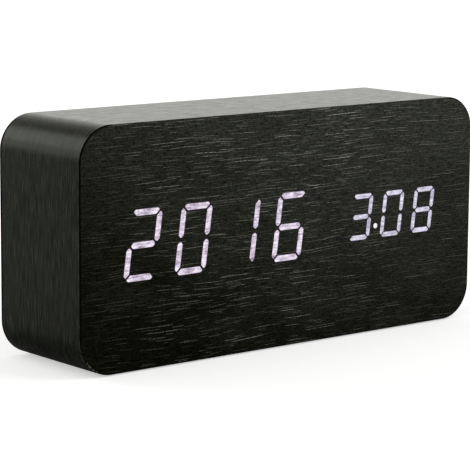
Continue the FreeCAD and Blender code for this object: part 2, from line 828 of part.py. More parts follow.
def diffuser_sheet():
    body = body_named("diffuser_sheet")
    pad(body, "XZ", "core_front_y", "diffuser_thickness",
        lambda s: rounded(s, "insert_width", "insert_height", "insert_radius", "0", "display_z"))


def display_board():
    body = body_named("display_board")
    pad(body, "XZ", "mask_rear_y", "board_thickness",
        lambda s: rounded(s, "mask_width", "mask_height", "window_radius", "0", "display_z"))
    pocket(body, "XZ", "mask_rear_y", "board_thickness", display_screw_holes)


def segment_lamps():
    """One surface-mount lamp at the middle of each light well."""
    body = body_named("segment_lamps")
    half_length = number("lamp_length") / 2
    half_width = number("lamp_width") / 2

    def lamps(sketch):
        for family, x in figure_centres():
            for letter, outline in seven_segments(family).items():
                middle_x = sum(p[0] for p in outline) / len(outline)
                middle_z = sum(p[1] for p in outline) / len(outline)
                (spot_x, spot_z), = slanted([(middle_x, middle_z)], x)
                flat = letter in "adg"
                across = half_length if flat else half_width
                rise = half_width if flat else half_length
                free_loop(sketch, [
                    (spot_x - across, spot_z - rise), (spot_x + across, spot_z - rise),
                    (spot_x + across, spot_z + rise), (spot_x - across, spot_z + rise),
                ])
        for x, z in dot_centres():
            free_loop(sketch, [
                (x - half_width / 2, z - half_width), (x + half_width / 2, z - half_width),
                (x + half_width / 2, z + half_width), (x - half_width / 2, z + half_width),
            ])
    pad(body, "XZ", "mask_rear_y - lamp_height", "lamp_height", lamps)


def chip(body, x, z, seat_y, away):
    """A chip with two rows of leads, standing off a board towards away (+1 or -1 along Y)."""
    low = seat_y if away > 0 else "%s - chip_height" % seat_y
    pad(body, "XZ", low, "chip_height", lambda s: centred(s, "chip_length", "chip_width", x, z))
    lead_low = seat_y if away > 0 else "%s - chip_lead_height" % seat_y
    row_length = "(chip_leads - 1) * chip_lead_pitch"

    def first_leads(sketch):
        low_x = "%s - %s / 2 - chip_lead_width / 2" % (x, row_length)
        high_x = "%s - %s / 2 + chip_lead_width / 2" % (x, row_length)
        edge = "%s + chip_width / 2" % z
        rectangle(sketch, low_x, edge, high_x, edge + " + chip_lead_reach")
        edge = "%s - chip_width / 2" % z
        rectangle(sketch, low_x, edge + " - chip_lead_reach", high_x, edge)
    leads = pad(body, "XZ", lead_low, "chip_lead_height", first_leads)
    grid(body, [leads], leads.Profile[0], row_length, "0", count=int(number("chip_leads")),
         other_count=1)


def display_drivers():
    body = body_named("display_drivers")
    for side in ("-", "+"):
        chip(body, "%s driver_spread / 2" % side, "display_z", "display_board_rear_y", 1)


def display_screws():
    body = screws("display_screws", "board_screw_head_radius", "board_screw_head_height",
                  "board_screw_radius",
                  "board_screw_head_height + board_thickness + mask_flange + board_screw_bite",
                  "display_screw_spread_x", "display_screw_spread_z")
    place(body, "-display_screw_spread_x / 2", "display_board_rear_y + board_screw_head_height",
          "display_z - display_screw_spread_z / 2")


def ribbon_headers():
    """The ribbon's plug on each board."""
    for label, level, z in (("display_header", "display_board_rear_y", "ribbon_low_z"),
                            ("control_header", "board_front_y - header_height", "ribbon_high_z")):
        body = body_named(label)
        pad(body, "XZ", level, "header_height",
            lambda s, z=z: centred(s, "header_length", "header_width", "ribbon_x", z))
        bevel(body, "header_bevel", lambda edge: edge.Length > number("header_length") - 1e-6)


def ribbon_cable():
    """Flat cable that rises from the display board to the control board in two equal bends."""
    start_y = number("display_board_rear_y + header_height")
    end_y = number("board_front_y - header_height")
    low = number("ribbon_low_z")
    high = number("ribbon_high_z")
    middle = (start_y + end_y) / 2
    x = number("ribbon_x")
    bend = number("ribbon_bend")
    route = [(x, start_y, low), (x, middle, low), (x, middle, high), (x, end_y, high)]
    path = rounded_path([FreeCAD.Vector(*point) for point in route], bend)
    wide = number("ribbon_width") / 2
    thin = number("ribbon_thickness") / 2
    section = Part.makePolygon([
        FreeCAD.Vector(x - wide, start_y, low - thin), FreeCAD.Vector(x + wide, start_y, low - thin),
        FreeCAD.Vector(x + wide, start_y, low + thin), FreeCAD.Vector(x - wide, start_y, low + thin),
        FreeCAD.Vector(x - wide, start_y, low - thin),
    ])
    solid = path.makePipeShell([section], True, False)
    ideal = 4 * wide * thin * path.Length
    print("ribbon_cable volume %.2f of %.2f" % (solid.Volume, ideal))
    item = document.addObject("Part::Feature", "ribbon_cable")
    item.Shape = solid
    keep(item, "ribbon_cable")


def rounded_path(points, fixed_radius=None):
    """Straight runs joined by tangent arcs, each as large as its two runs allow."""
    edges = []
    last = points[0]
    for i in range(1, len(points) - 1):
        before = points[i - 1] - points[i]
        after = points[i + 1] - points[i]
        turn = math.pi - before.getAngle(after)
        shorter = min(before.Length, after.Length)
        radius = fixed_radius or BEND_SHARE * shorter / math.tan(turn / 2)
        cut = radius * math.tan(turn / 2)
        enter = points[i] + before.normalize() * cut
        leave = points[i] + after.normalize() * cut
        bisector = (before + after).normalize()
        centre = points[i] + bisector * (radius / math.cos(turn / 2))
        apex = centre - bisector * radius
        edges.append(Part.LineSegment(last, enter).toShape())
        edges.append(Part.Arc(enter, apex, leave).toShape())
        print("  bend radius %.2f" % radius)
        last = leave
    edges.append(Part.LineSegment(last, points[-1]).toShape())
    return Part.Wire(edges)


# Control board and what it carries

def control_board():
    body = body_named("control_board")
    pad(body, "XZ", "board_front_y", "board_thickness",
        lambda s: rounded(s, "control_width", "control_height", "window_radius",
                          "0", "control_z"))

    def holes(sketch):
        for side in ("-", "+"):
            for rise in ("-", "+"):
                circle(sketch, "board_screw_hole", "%s control_screw_spread_x / 2" % side,
                       "control_z %s control_screw_spread_z / 2" % rise)
        centred(sketch, "jack_size + 2 * window_gap", "jack_size + 2 * window_gap",
                "jack_x", "controls_z")
    pocket(body, "XZ", "board_front_y", "board_thickness", holes)


def board_spacers():
    body = body_named("board_spacers")
    tube = turned(body, [
        ("spacer_bore", "0"), ("spacer_radius", "0"),
        ("spacer_radius", "spacer_length"), ("spacer_bore", "spacer_length"),
    ])
    grid(body, [tube], tube.Profile[0], "control_screw_spread_x", "control_screw_spread_z")
    place(body, "-control_screw_spread_x / 2", "board_rear_y",
          "control_z - control_screw_spread_z / 2")


def control_screws():
    body = screws("control_screws", "board_screw_head_radius", "board_screw_head_height",
                  "board_screw_radius",
                  "board_screw_head_height + board_thickness + spacer_length + board_screw_bite",
                  "control_screw_spread_x", "control_screw_spread_z")
    place(body, "-control_screw_spread_x / 2", "board_front_y - board_screw_head_height",
          "control_z + control_screw_spread_z / 2", (1, 0, 0), 180.0)


def push_buttons():
    """Three alike buttons, each with its tact switch and the switch's plunger."""
    for i, use in enumerate(("set", "up", "down")):
        x = "button_first_x + %d * button_pitch" % i
        cap = body_named(use + "_button")
        turned(cap, [
            ("0", "0"),
            ("button_flange_radius", "0"),
            ("button_flange_radius", "panel_front_y - button_flange_gap - plunger_top_y"),
            ("button_radius", "panel_front_y - button_flange_gap - plunger_top_y"),
            ("button_radius", "rear_y + button_proud - button_bevel - plunger_top_y"),
            ("button_radius - button_bevel", "rear_y + button_proud - plunger_top_y"),
            ("0", "rear_y + button_proud - plunger_top_y"),
        ])
        place(cap, x, "plunger_top_y", "controls_z")

        switch = body_named(use + "_switch")
        pad(switch, "XZ", "0", "switch_height", lambda s: centred(s, "switch_size", "switch_size"))
        bore = "plunger_radius + plunger_side_gap"
        depth = "plunger_depth + button_travel + plunger_end_gap"
        pocket(switch, "XZ", "switch_height - (%s)" % depth, depth,
               lambda s, bore=bore: circle(s, bore))
        place(switch, x, "board_rear_y", "controls_z")

        plunger = body_named(use + "_plunger")
        turned(plunger, [
            ("0", "0"), ("plunger_radius", "0"),
            ("plunger_radius", "plunger_depth + plunger_proud"),
            ("0", "plunger_depth + plunger_proud"),
        ])
        place(plunger, x, "switch_top_y - plunger_depth", "controls_z")


def power_inlet():
    """Barrel socket that reaches through the board, with its own centre pin."""
    body = body_named("dc_socket")
    pad(body, "XZ", "jack_face_y - jack_length", "jack_length",
        lambda s: centred(s, "jack_size", "jack_size", "jack_x", "controls_z"))
    pad(body, "XZ", "board_rear_y", "jack_ear_thickness",
        lambda s: centred(s, "jack_size + 2 * jack_ear", "jack_size", "jack_x", "controls_z"))
    pocket(body, "XZ", "jack_face_y - jack_bore_depth", "jack_bore_depth",
           lambda s: circle(s, "jack_bore", "jack_x", "controls_z"))
    pin = body_named("dc_socket_pin")
    turned(pin, [
        ("0", "0"), ("jack_pin_radius", "0"),
        ("jack_pin_radius", "jack_pin_length - part_bevel"),
        ("jack_pin_radius - part_bevel", "jack_pin_length"), ("0", "jack_pin_length"),
    ])
    place(pin, "jack_x", "jack_face_y - jack_bore_depth", "controls_z")


def processor():
    body = body_named("processor")
    chip(body, "processor_x", "processor_z", "board_front_y", -1)


def round_part(label, x, z, seat_y, away, points):
    """A turned part that stands on a board, its height away from the board."""
    body = body_named(label)
    turned(body, points)
    turn = 0.0 if away > 0 else 180.0
    place(body, x, seat_y, z, (1, 0, 0), turn)
    return body


def board_parts():
    round_part("microphone", "microphone_x", "controls_z", "board_rear_y", 1, [
        ("0", "0"), ("microphone_radius", "0"), ("microphone_radius", "microphone_height"),
        ("sound_hole_radius", "microphone_height"),
        ("sound_hole_radius", "microphone_height - microphone_hole_depth"),
        ("0", "microphone_height - microphone_hole_depth"),
    ])
    round_part("capacitor", "capacitor_x", "capacitor_z", "board_front_y", -1, [
        ("0", "0"), ("capacitor_radius", "0"),
        ("capacitor_radius", "capacitor_crimp_height - part_bevel"),
        ("capacitor_radius - part_bevel", "capacitor_crimp_height"),
        ("capacitor_radius", "capacitor_crimp_height + part_bevel"),
        ("capacitor_radius", "capacitor_length - part_bevel"),
        ("capacitor_radius - part_bevel", "capacitor_length"), ("0", "capacitor_length"),
    ])
    round_part("buzzer", "buzzer_x", "buzzer_z", "board_front_y", -1, [
        ("0", "0"), ("buzzer_radius", "0"), ("buzzer_radius", "buzzer_height"),
        ("buzzer_hole_radius", "buzzer_height"),
        ("buzzer_hole_radius", "buzzer_height - buzzer_hole_depth"),
        ("0", "buzzer_height - buzzer_hole_depth"),
    ])
    crystal = body_named("clock_crystal")
    turned(crystal, [
        ("0", "0"), ("crystal_radius", "0"), ("crystal_radius", "crystal_length - part_bevel"),
        ("crystal_radius - part_bevel", "crystal_length"), ("0", "crystal_length"),
    ])
    place(crystal, "crystal_x", "board_front_y - crystal_radius", "crystal_z", (0, 0, 1), -90.0)
    sensor = body_named("temperature_sensor")

    def leads(sketch):
        for side in ("-", "+"):
            circle(sketch, "sensor_lead_radius", "%s sensor_lead_spread / 2" % side)
    pad(sensor, "XZ", "0", "sensor_height", leads)
    turned(sensor, [
        ("0", "sensor_height - sensor_bead_radius"),
        ("sensor_bead_radius", "sensor_height - sensor_bead_radius"),
        ("sensor_bead_radius", "sensor_height + sensor_bead_radius / 2"),
        ("sensor_bead_radius / 2", "sensor_height + sensor_bead_radius"),
        ("0", "sensor_height + sensor_bead_radius"),
    ])
    place(sensor, "sensor_x", "board_rear_y", "controls_z")
    socket = body_named("battery_header")
    pad(socket, "XZ", "board_front_y - lead_socket_depth", "lead_socket_depth",
        lambda s: centred(s, "lead_socket_size", "lead_socket_size",
                          "lead_socket_x", "lead_socket_z"))


# Battery tray in the underside

def battery_tray():
    body = body_named("battery_tray")
    pad(body, "XY", "base_z", "tray_flange",
        lambda s: rounded(s, "tray_flange_length", "tray_flange_width", "tray_flange_radius"))
    pad(body, "XY", "flange_top_z", "tray_roof_z + tray_wall - flange_top_z",
        lambda s: centred(s, "tray_shell_length", "tray_shell_width"))
    pocket(body, "XY", "base_z", "tray_roof_z - base_z",
           lambda s: centred(s, "tray_length", "tray_width"))
    pocket(body, "XY", "base_z", "door_thickness + door_roof_gap",
           lambda s: rectangle(s, "door_opening_low_x", "-door_width / 2 - door_gap",
                               "door_opening_high_x", "door_width / 2 + door_gap"))

    def tongue_slots(sketch):
        for side in ("-", "+"):
            middle = "%s tongue_spread / 2" % side
            half = "(tongue_width / 2 + door_gap)"
            rectangle(sketch, "door_pivot_x - tongue_reach - tongue_end_gap",
                      "%s - %s" % (middle, half),
                      "door_pivot_x + door_thickness / 2", "%s + %s" % (middle, half))
    slot_level = "tongue_z - tongue_ledge_gap"
    pocket(body, "XY", slot_level, "flange_top_z - (%s)" % slot_level, tongue_slots)

    def latch_slot(sketch):
        rectangle(sketch, "tray_shell_length / 2 + latch_wall_gap", "-latch_width / 2 - latch_gap",
                  "door_opening_high_x", "latch_width / 2 + latch_gap")
    pocket(body, "XY", "door_top_z", "flange_top_z - door_top_z", latch_slot)

    def tray_holes(sketch, radius):
        for side in ("-", "+"):
            for rise in ("-", "+"):
                circle(sketch, radius, "%s tray_screw_spread_x / 2" % side,
                       "%s tray_screw_spread_y / 2" % rise)
    pocket(body, "XY", "base_z", "tray_flange", lambda s: tray_holes(s, "board_screw_hole"))
    pocket(body, "XY", "base_z", "tray_screw_seat",
           lambda s: tray_holes(s, "board_screw_head_radius + screw_head_gap"))

    def tab_slots(sketch):
        for side in ("-", "+"):
            middle = "%s cell_pitch / 2" % side
            rectangle(sketch, "-tray_length / 2", "%s - plate_tab_width / 2 - tab_gap" % middle,
                      "-tray_length / 2 + plate_thickness + tab_gap",
                      "%s + plate_tab_width / 2 + tab_gap" % middle)
    pocket(body, "XY", "tray_roof_z", "tray_wall", tab_slots)


def tray_screws():
    body = screws("tray_screws", "board_screw_head_radius", "board_screw_head_height",
                  "board_screw_radius",
                  "tray_flange - screw_sink + tray_screw_bite",
                  "tray_screw_spread_x", "tray_screw_spread_y")
    place(body, "-tray_screw_spread_x / 2", "-tray_screw_spread_y / 2", "tray_screw_z",
          (1, 0, 0), -90.0)


def contact_plates():
    """Two end plates with solder tabs, and the long plate that joins the two rows."""
    body = body_named("contact_plates")

    def ends(sketch):
        for side in ("-", "+"):
            centred(sketch, "plate_size", "plate_size", "%s cell_pitch / 2" % side,
                    "plate_z + plate_size / 2")
    pad(body, "YZ", "-tray_length / 2", "plate_thickness", ends)

    def tabs(sketch):
        for side in ("-", "+"):
            middle = "%s cell_pitch / 2" % side
            rectangle(sketch, "%s - plate_tab_width / 2" % middle, "tray_roof_z",
                      "%s + plate_tab_width / 2" % middle,
                      "tray_roof_z + tray_wall + plate_tab_height")
    pad(body, "YZ", "-tray_length / 2", "plate_thickness", tabs)
    pad(body, "YZ", "tray_length / 2 - plate_thickness", "plate_thickness",
        lambda s: centred(s, "plate_size + cell_pitch", "plate_size", "0",
                          "plate_z + plate_size / 2"))


def two_arcs(start, start_way, end, end_way):
    """Two arcs that meet in a common tangent and leave and reach their ends in given directions."""
    chord = end - start
    ways = start_way + end_way
    bend = 2 * (1 - start_way.dot(end_way))
    lean = chord.dot(ways)
    arm = (math.sqrt(lean ** 2 + bend * chord.dot(chord)) - lean) / bend
    corners = (start + start_way * arm, end - end_way * arm)
    middle = (corners[0] + corners[1]) / 2
    arcs = []
    for enter, corner, leave in ((start, corners[0], middle), (middle, corners[1], end)):
        before = enter - corner
        after = leave - corner
        half_turn = (math.pi - before.getAngle(after)) / 2
        radius = arm / math.tan(half_turn)
        bisector = (before + after).normalize()
        apex = corner + bisector * (radius / math.cos(half_turn) - radius)
        arcs.append(Part.Arc(enter, apex, leave).toShape())
    return arcs


def contact_springs():
    """A conical coil at the flat end of each row, one unbroken wire each."""
    wire = number("spring_wire")
    length = number("spring_length") - 2 * wire
    base = number("spring_base_radius")
    tip = number("spring_tip_radius")
    turns = number("spring_turns")
    sweep = 2 * math.pi * turns

    def spot(share):
        angle = sweep * share
        radius = base + (tip - base) * share
        return FreeCAD.Vector(radius * math.cos(angle), radius * math.sin(angle), length * share)

    def way(share):
        angle = sweep * share
        radius = base + (tip - base) * share
        outward = FreeCAD.Vector(math.cos(angle), math.sin(angle), 0)
        along = FreeCAD.Vector(-math.sin(angle), math.cos(angle), 0)
        return (along * (radius * sweep) + outward * (tip - base)
                + FreeCAD.Vector(0, 0, length)).normalize()

    quarters = max(4, round(4 * turns))
    arcs = []
    for i in range(quarters):
        low = i / quarters
        high = (i + 1) / quarters
        arcs += two_arcs(spot(low), way(low), spot(high), way(high))
    coil = Part.Wire(arcs)
    section = Part.Wire([Part.Circle(spot(0), way(0), wire).toShape()])
    one = coil.makePipeShell([section], True, False)
    ideal = math.pi * wire ** 2 * coil.Length
    print("contact spring volume %.2f of %.2f" % (one.Volume, ideal))
    steps = 400
    spots = [spot(i / steps) for i in range(steps + 1)]
    per_turn = int(steps / turns)
    gaps = [(spots[i] - spots[i + per_turn]).Length for i in range(steps + 1 - per_turn)]
    print("contact spring least gap to itself %.2f mm" % (min(gaps) - 2 * wire))
    shapes = []
    inner = number("tray_length / 2 - plate_thickness")
    for side, y in ((-1, "cell_pitch / 2"), (1, "-cell_pitch / 2")):
        copy = one.copy()
        turn = FreeCAD.Rotation(FreeCAD.Vector(0, 1, 0), -90.0 * side)
        seat = FreeCAD.Vector(side * (inner - wire), number(y), number("cell_z"))
        copy.Placement = FreeCAD.Placement(seat, turn)
        shapes.append(copy)
    item = document.addObject("Part::Feature", "contact_springs")
    item.Shape = Part.makeCompound(shapes)
    keep(item, "contact_springs")


def cells():
    """Four slim cells, two in line in each row; a row's flat end meets its spring."""
    step = "cell_length + cell_nub_length"
    first = "tray_length / 2 - plate_thickness - spring_length"
    rows = (("cell_pitch / 2", -1, -90.0), ("-cell_pitch / 2", 1, 90.0))
    count = 0
    for y, side, angle in rows:
        for i in range(2):
            count += 1
            body = body_named("aaa_cell_%d" % count)
            turned(body, [
                ("0", "0"),
                ("cell_radius - cell_edge", "0"), ("cell_radius", "cell_edge"),
                ("cell_radius", "cell_length - cell_edge"),
                ("cell_radius - cell_edge", "cell_length"),
                ("cell_nub_radius", "cell_length"),
                ("cell_nub_radius", "cell_length + cell_nub_length"),
                ("0", "cell_length + cell_nub_length"),
            ])
            x = "%d * (%s - %d * (%s))" % (side, first, i, step)
            place(body, x, y, "cell_z", (0, 0, 1), angle)


def battery_door():
    """Snap door: its tongues turn in the tray's slots and its sprung latch faces the other end."""
    body = body_named("battery_door")
    pad(body, "XZ", "-door_width / 2", "door_width",
        lambda s: rectangle(s, "door_pivot_x", "base_z", "door_free_end_x", "door_top_z"))
    pad(body, "XZ", "-door_width / 2", "door_width",
        lambda s: circle(s, "door_thickness / 2", "door_pivot_x", "door_pivot_z"))

    def tongues(sketch):
        for side in ("-", "+"):
            middle = "%s tongue_spread / 2" % side
            rectangle(sketch, "door_pivot_x - tongue_reach", "%s - tongue_width / 2" % middle,
                      "door_pivot_x", "%s + tongue_width / 2" % middle)
    pad(body, "XY", "tongue_z", "tongue_thickness", tongues)

    def latch(sketch):
        inner = "door_free_end_x - latch_inset"
        outer = "door_free_end_x - latch_inset + latch_thickness"
        polygon(sketch, [
            (inner, "door_top_z"), (outer, "door_top_z"),
            (outer, "door_top_z + latch_height - 2 * latch_nib"),
            (outer + " + latch_nib", "door_top_z + latch_height - latch_nib"),
            (outer, "door_top_z + latch_height"),
            (inner, "door_top_z + latch_height"),
        ])
    pad(body, "XZ", "-latch_width / 2", "latch_width", latch)
    pocket(body, "XY", "base_z", "grip_depth",
           lambda s: rectangle(s, "door_free_end_x - grip_inset - grip_length",
                               "-grip_width / 2", "door_free_end_x - grip_inset",
                               "grip_width / 2"))


def battery_leads():
    """Two leads from the tray's solder tabs up to the battery header, held inside the case."""
    x = number("-tray_length / 2 + plate_thickness / 2")
    start_z = number("tray_roof_z + tray_wall + plate_tab_height")
    row = number("cell_pitch / 2")
    end_x = number("lead_socket_x - lead_socket_size / 2")
    end_y = number("board_front_y - lead_socket_depth / 2")
    low_z = number("lead_socket_z - lead_socket_pitch / 2")
    high_z = number("lead_socket_z + lead_socket_pitch / 2")
    rise = number("lead_rise")
    sag_y = number("lead_crossing_y")
    sag_z = number("lead_crossing_z")
    radius = number("lead_radius")
    routes = {
        "battery_lead_red": [
            (x, row, start_z), (x, row, start_z + rise), (x, end_y, low_z),
            (end_x, end_y, low_z),
        ],
        "battery_lead_black": [
            (x, -row, start_z), (x, -row, start_z + rise), (x, sag_y, sag_z),
            (x, end_y, high_z), (end_x, end_y, high_z),
        ],
    }
    for label, route in routes.items():
        path = rounded_path([FreeCAD.Vector(*point) for point in route])
        first = path.Edges[0]
        start = first.valueAt(first.FirstParameter)
        along = first.tangentAt(first.FirstParameter)
        section = Part.Wire([Part.Circle(start, along, radius).toShape()])
        solid = path.makePipeShell([section], True, False)
        ideal = math.pi * radius ** 2 * path.Length
        print("%s volume %.2f of %.2f" % (label, solid.Volume, ideal))
        item = document.addObject("Part::Feature", label)
        item.Shape = solid
        keep(item, label)


for make in (
    case_body, perimeter_wrap, front_veneer, rear_panel, rear_veneer, rear_panel_screws,
    foot_pads, diffuser_sheet, segment_mask, display_board, segment_lamps, display_drivers,
    display_screws, ribbon_headers, ribbon_cable, control_board, board_spacers, control_screws,
    push_buttons, power_inlet, processor, board_parts, battery_tray, tray_screws,
    contact_plates, contact_springs, cells, battery_door, battery_leads,
):
    make()

document.recompute()
for item in document.Objects:
    faults = [word for word in item.State if word in ("Invalid", "Error")]
    if faults:
        raise RuntimeError("%s is %s" % (item.Label, faults))
for item in NODES:
    shape = item.Shape
    if shape.isNull() or not shape.isValid() or not shape.Solids:
        raise RuntimeError("%s has no valid solid" % item.Label)

os.makedirs("parts", exist_ok=True)
for item in NODES:
    item.Shape.exportStep(os.path.join("parts", item.Label + ".step"))
print("%d sub-parts written" % len(NODES))
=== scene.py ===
import json
import math

import bmesh
import bpy
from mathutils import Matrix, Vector
from mathutils.geometry import tessellate_polygon


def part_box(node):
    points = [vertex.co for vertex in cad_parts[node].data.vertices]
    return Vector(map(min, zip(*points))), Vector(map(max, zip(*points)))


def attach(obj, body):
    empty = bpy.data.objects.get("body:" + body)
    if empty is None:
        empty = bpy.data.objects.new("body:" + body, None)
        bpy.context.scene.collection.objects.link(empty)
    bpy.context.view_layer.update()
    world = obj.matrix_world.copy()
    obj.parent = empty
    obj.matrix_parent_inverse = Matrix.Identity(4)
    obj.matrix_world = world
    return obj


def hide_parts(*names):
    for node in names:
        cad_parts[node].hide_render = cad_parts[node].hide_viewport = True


# Wooden digital alarm clock, in metres. +X is to the right seen from the front, the display looks
# towards -Y and +Z is up. Places come from the frame's nodes, sizes below are in metres too.

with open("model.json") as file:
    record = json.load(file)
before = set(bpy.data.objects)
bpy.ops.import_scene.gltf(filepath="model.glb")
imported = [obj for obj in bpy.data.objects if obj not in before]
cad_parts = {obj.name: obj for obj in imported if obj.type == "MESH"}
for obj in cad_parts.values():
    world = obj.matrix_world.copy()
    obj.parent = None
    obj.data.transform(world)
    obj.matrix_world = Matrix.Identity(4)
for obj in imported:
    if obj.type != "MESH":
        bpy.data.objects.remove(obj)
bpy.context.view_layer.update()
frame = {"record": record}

MM = 0.001
FILM = 0.4 * MM
CORNER_RADIUS = 10.5 * MM

case_low, case_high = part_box("front_veneer")
wrap_low, wrap_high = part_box("perimeter_wrap")
window_low, window_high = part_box("diffuser_sheet")
panel_low, panel_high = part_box("rear_veneer")


# Node materials

class Net:
    """The node tree of a world, or of a new material where owner is its name."""

    def __init__(self, owner):
        self.owner = bpy.data.materials.new(owner) if isinstance(owner, str) else owner
        self.owner.use_nodes = True
        self.tree = self.owner.node_tree
        self.tree.nodes.clear()

    def node(self, kind, sockets=(), **settings):
        made = self.tree.nodes.new("ShaderNode" + kind)
        for key, value in settings.items():
            setattr(made, key, value)
        for key, value in dict(sockets).items():
            if isinstance(value, bpy.types.NodeSocket):
                self.tree.links.new(value, made.inputs[key])
            else:
                made.inputs[key].default_value = value
        return made

    def math(self, operation, *values):
        return self.node("Math", enumerate(values), operation=operation).outputs[0]

    def total(self, first, *others):
        for other in others:
            first = self.math("ADD", first, other)
        return first

    def product(self, first, *others):
        for other in others:
            first = self.math("MULTIPLY", first, other)
        return first

    def place(self):
        """The point on the piece, in metres."""
        return self.node("TexCoord").outputs["Object"]

    def axes(self, vector):
        return self.node("SeparateXYZ", {0: vector}).outputs

    def point(self, x, y, z=0.0):
        return self.node("CombineXYZ", {0: x, 1: y, 2: z}).outputs[0]

    def noise(self, vector, size, detail=2.0, roughness=0.5):
        """Noise from 0 to 1 whose blots are about as large as size: millimetres, one length or three."""
        sizes = size if isinstance(size, tuple) else (size, size, size)
        scale = tuple(1.0 / (length * MM) for length in sizes)
        scaled = self.node("VectorMath", {0: vector, 1: scale}, operation="MULTIPLY").outputs[0]
        sockets = {"Vector": scaled, "Scale": 1.0, "Detail": detail, "Roughness": roughness}
        return self.node("TexNoise", sockets).outputs["Fac"]

    def span(self, value, low, high, start=0.0, end=1.0, smooth=False):
        """Maps low to high onto start to end, and holds the ends."""
        kind = "SMOOTHSTEP" if smooth else "LINEAR"
        sockets = {0: value, 1: low, 2: high, 3: start, 4: end}
        return self.node("MapRange", sockets, interpolation_type=kind).outputs[0]

    def blend(self, factor, first, second):
        """Mixes two colours, each a triple or a socket."""
        first, second = (c if isinstance(c, bpy.types.NodeSocket) else (*c, 1.0) for c in (first, second))
        return self.node("Mix", {0: factor, 6: first, 7: second}, data_type="RGBA").outputs[2]

    def surface(self, colour, roughness, height, depth, **fixed):
        """Ends the tree in a Principled shader. Height is bumped by depth, in metres."""
        bump = self.node("Bump", {"Height": height, "Distance": depth})
        sockets = {"Base Color": colour, "Roughness": roughness, "Normal": bump.outputs[0]}
        sockets.update({name.replace("_", " "): value for name, value in fixed.items()})
        shader = self.node("BsdfPrincipled", sockets)
        self.node("OutputMaterial", {0: shader.outputs[0]})
        return self.owner


# Pitch of the rows, room of one pore, its width, and the share of rooms that hold one
LONG_PORES = (0.8 * MM, 25 * MM, 0.15 * MM, 0.58)
SHORT_PORES = (0.43 * MM, 11 * MM, 0.12 * MM, 0.5)
# Where a pore begins in its room, its length and the fading of its ends, in shares of the room, then
# how pale it is, its level in the row, and the drop of the painted shadow line under it in line widths
LINE_BEGIN = (0.02, 0.38)
LINE_LENGTH = (0.15, 0.52)
LINE_FADES = (0.05, 0.08)
LINE_STRENGTH = (0.3, 1.0)
LINE_LEVEL = (-0.5, -0.8)
PAINTED_SHADOW_DROP = 1.25


def dashes(net, along, across, pitch, reach, width, share):
    """Pale lines in rows, partly print and partly painted highlight: how much of one shows at a point,
    and of the painted shadow line just under it.
    """
    up = net.product(across, 1 / pitch)
    row = net.math("FLOOR", up)
    shift = net.node("TexWhiteNoise", {"W": row}, noise_dimensions="1D").outputs["Value"]
    run = net.total(net.product(along, 1 / reach), net.product(shift, 9.0))
    room = net.math("FLOOR", run)
    form = net.node("TexWhiteNoise", {"Vector": net.point(room, row, pitch / MM)}).outputs["Color"]
    chance = net.node("TexWhiteNoise", {"Vector": net.point(room, row, reach / MM)}).outputs["Color"]
    begin, length, rise = net.axes(form)[:3]
    held, strength = net.axes(chance)[:2]
    spot = net.math("FRACT", run)
    first = net.span(begin, 0.0, 1.0, *LINE_BEGIN)
    last = net.total(first, net.span(length, 0.0, 1.0, *LINE_LENGTH))
    shown = net.product(net.span(spot, first, net.total(first, LINE_FADES[0])),
                        net.span(spot, last, net.total(last, LINE_FADES[1]), 1.0, 0.0),
                        net.span(held, 1 - share, 1.01 - share),
                        net.span(strength, 0.0, 1.0, *LINE_STRENGTH))
    above = net.total(net.math("FRACT", up), net.span(rise, 0.0, 1.0, *LINE_LEVEL))
    above = net.product(above, pitch)
    line = net.span(net.math("ABSOLUTE", above), 0.25 * width, 0.65 * width, 1.0, 0.0)
    under = net.math("ABSOLUTE", net.total(above, PAINTED_SHADOW_DROP * width))
    # Painted shadow: a dark line just under each pore
    painted_shadow_line = net.span(under, 0.35 * width, 0.8 * width, 1.0, 0.0)
    return net.product(line, shown), net.product(painted_shadow_line, shown)


SHORT_PORE_STRENGTH = 0.7
SWELL = 1.8 * MM
RIPPLE = 0.3 * MM


def grain(net, along, across):
    """Pores of the printed wood, pale partly as a painted highlight, and the painted shadow lines under
    them: how much of each shows, from 0 to 1.
    """
    flat = net.point(along, across)
    swell = net.span(net.noise(flat, (50, 18, 1)), 0.0, 1.0, -SWELL, SWELL)
    ripple = net.span(net.noise(flat, (16, 6, 1)), 0.0, 1.0, -RIPPLE, RIPPLE)
    bent = net.total(across, swell, ripple)
    long_line, long_painted_shadow = dashes(net, along, bent, *LONG_PORES)
    short_line, short_painted_shadow = dashes(net, along, bent, *SHORT_PORES)
    clusters = net.span(net.noise(flat, (18, 6, 1)), 0.36, 0.62, 0.45, 1.0)
    breaks = net.span(net.noise(flat, (0.65, 0.4, 1), 1.0), 0.34, 0.58, 0.2, 1.15)
    pores = net.math("MAXIMUM", long_line, net.product(short_line, SHORT_PORE_STRENGTH))
    painted_shadow_lines = net.math("MAXIMUM", long_painted_shadow, net.product(short_painted_shadow, SHORT_PORE_STRENGTH))
    return net.product(pores, clusters, breaks), net.product(painted_shadow_lines, clusters)


# Colours of the film where it is darkest and where it is palest, each from speck to speck. On the front
# the pale end is partly painted light
FILM_DARK = ((0.0, 0.0001, 0.0), (0.0063, 0.0068, 0.0027))
FILM_PALE = ((0.008, 0.009, 0.007), (0.0545, 0.057, 0.049))
# Pore colours, partly print and partly painted highlight, then the painted shadow under the pores
FILM_PORE_AND_HIGHLIGHT = ((0.162, 0.17, 0.142), (0.4, 0.412, 0.368))
FILM_PAINTED_SHADOW = (0.0012, 0.0013, 0.0008)
FILM_ROUGHNESS = 0.42


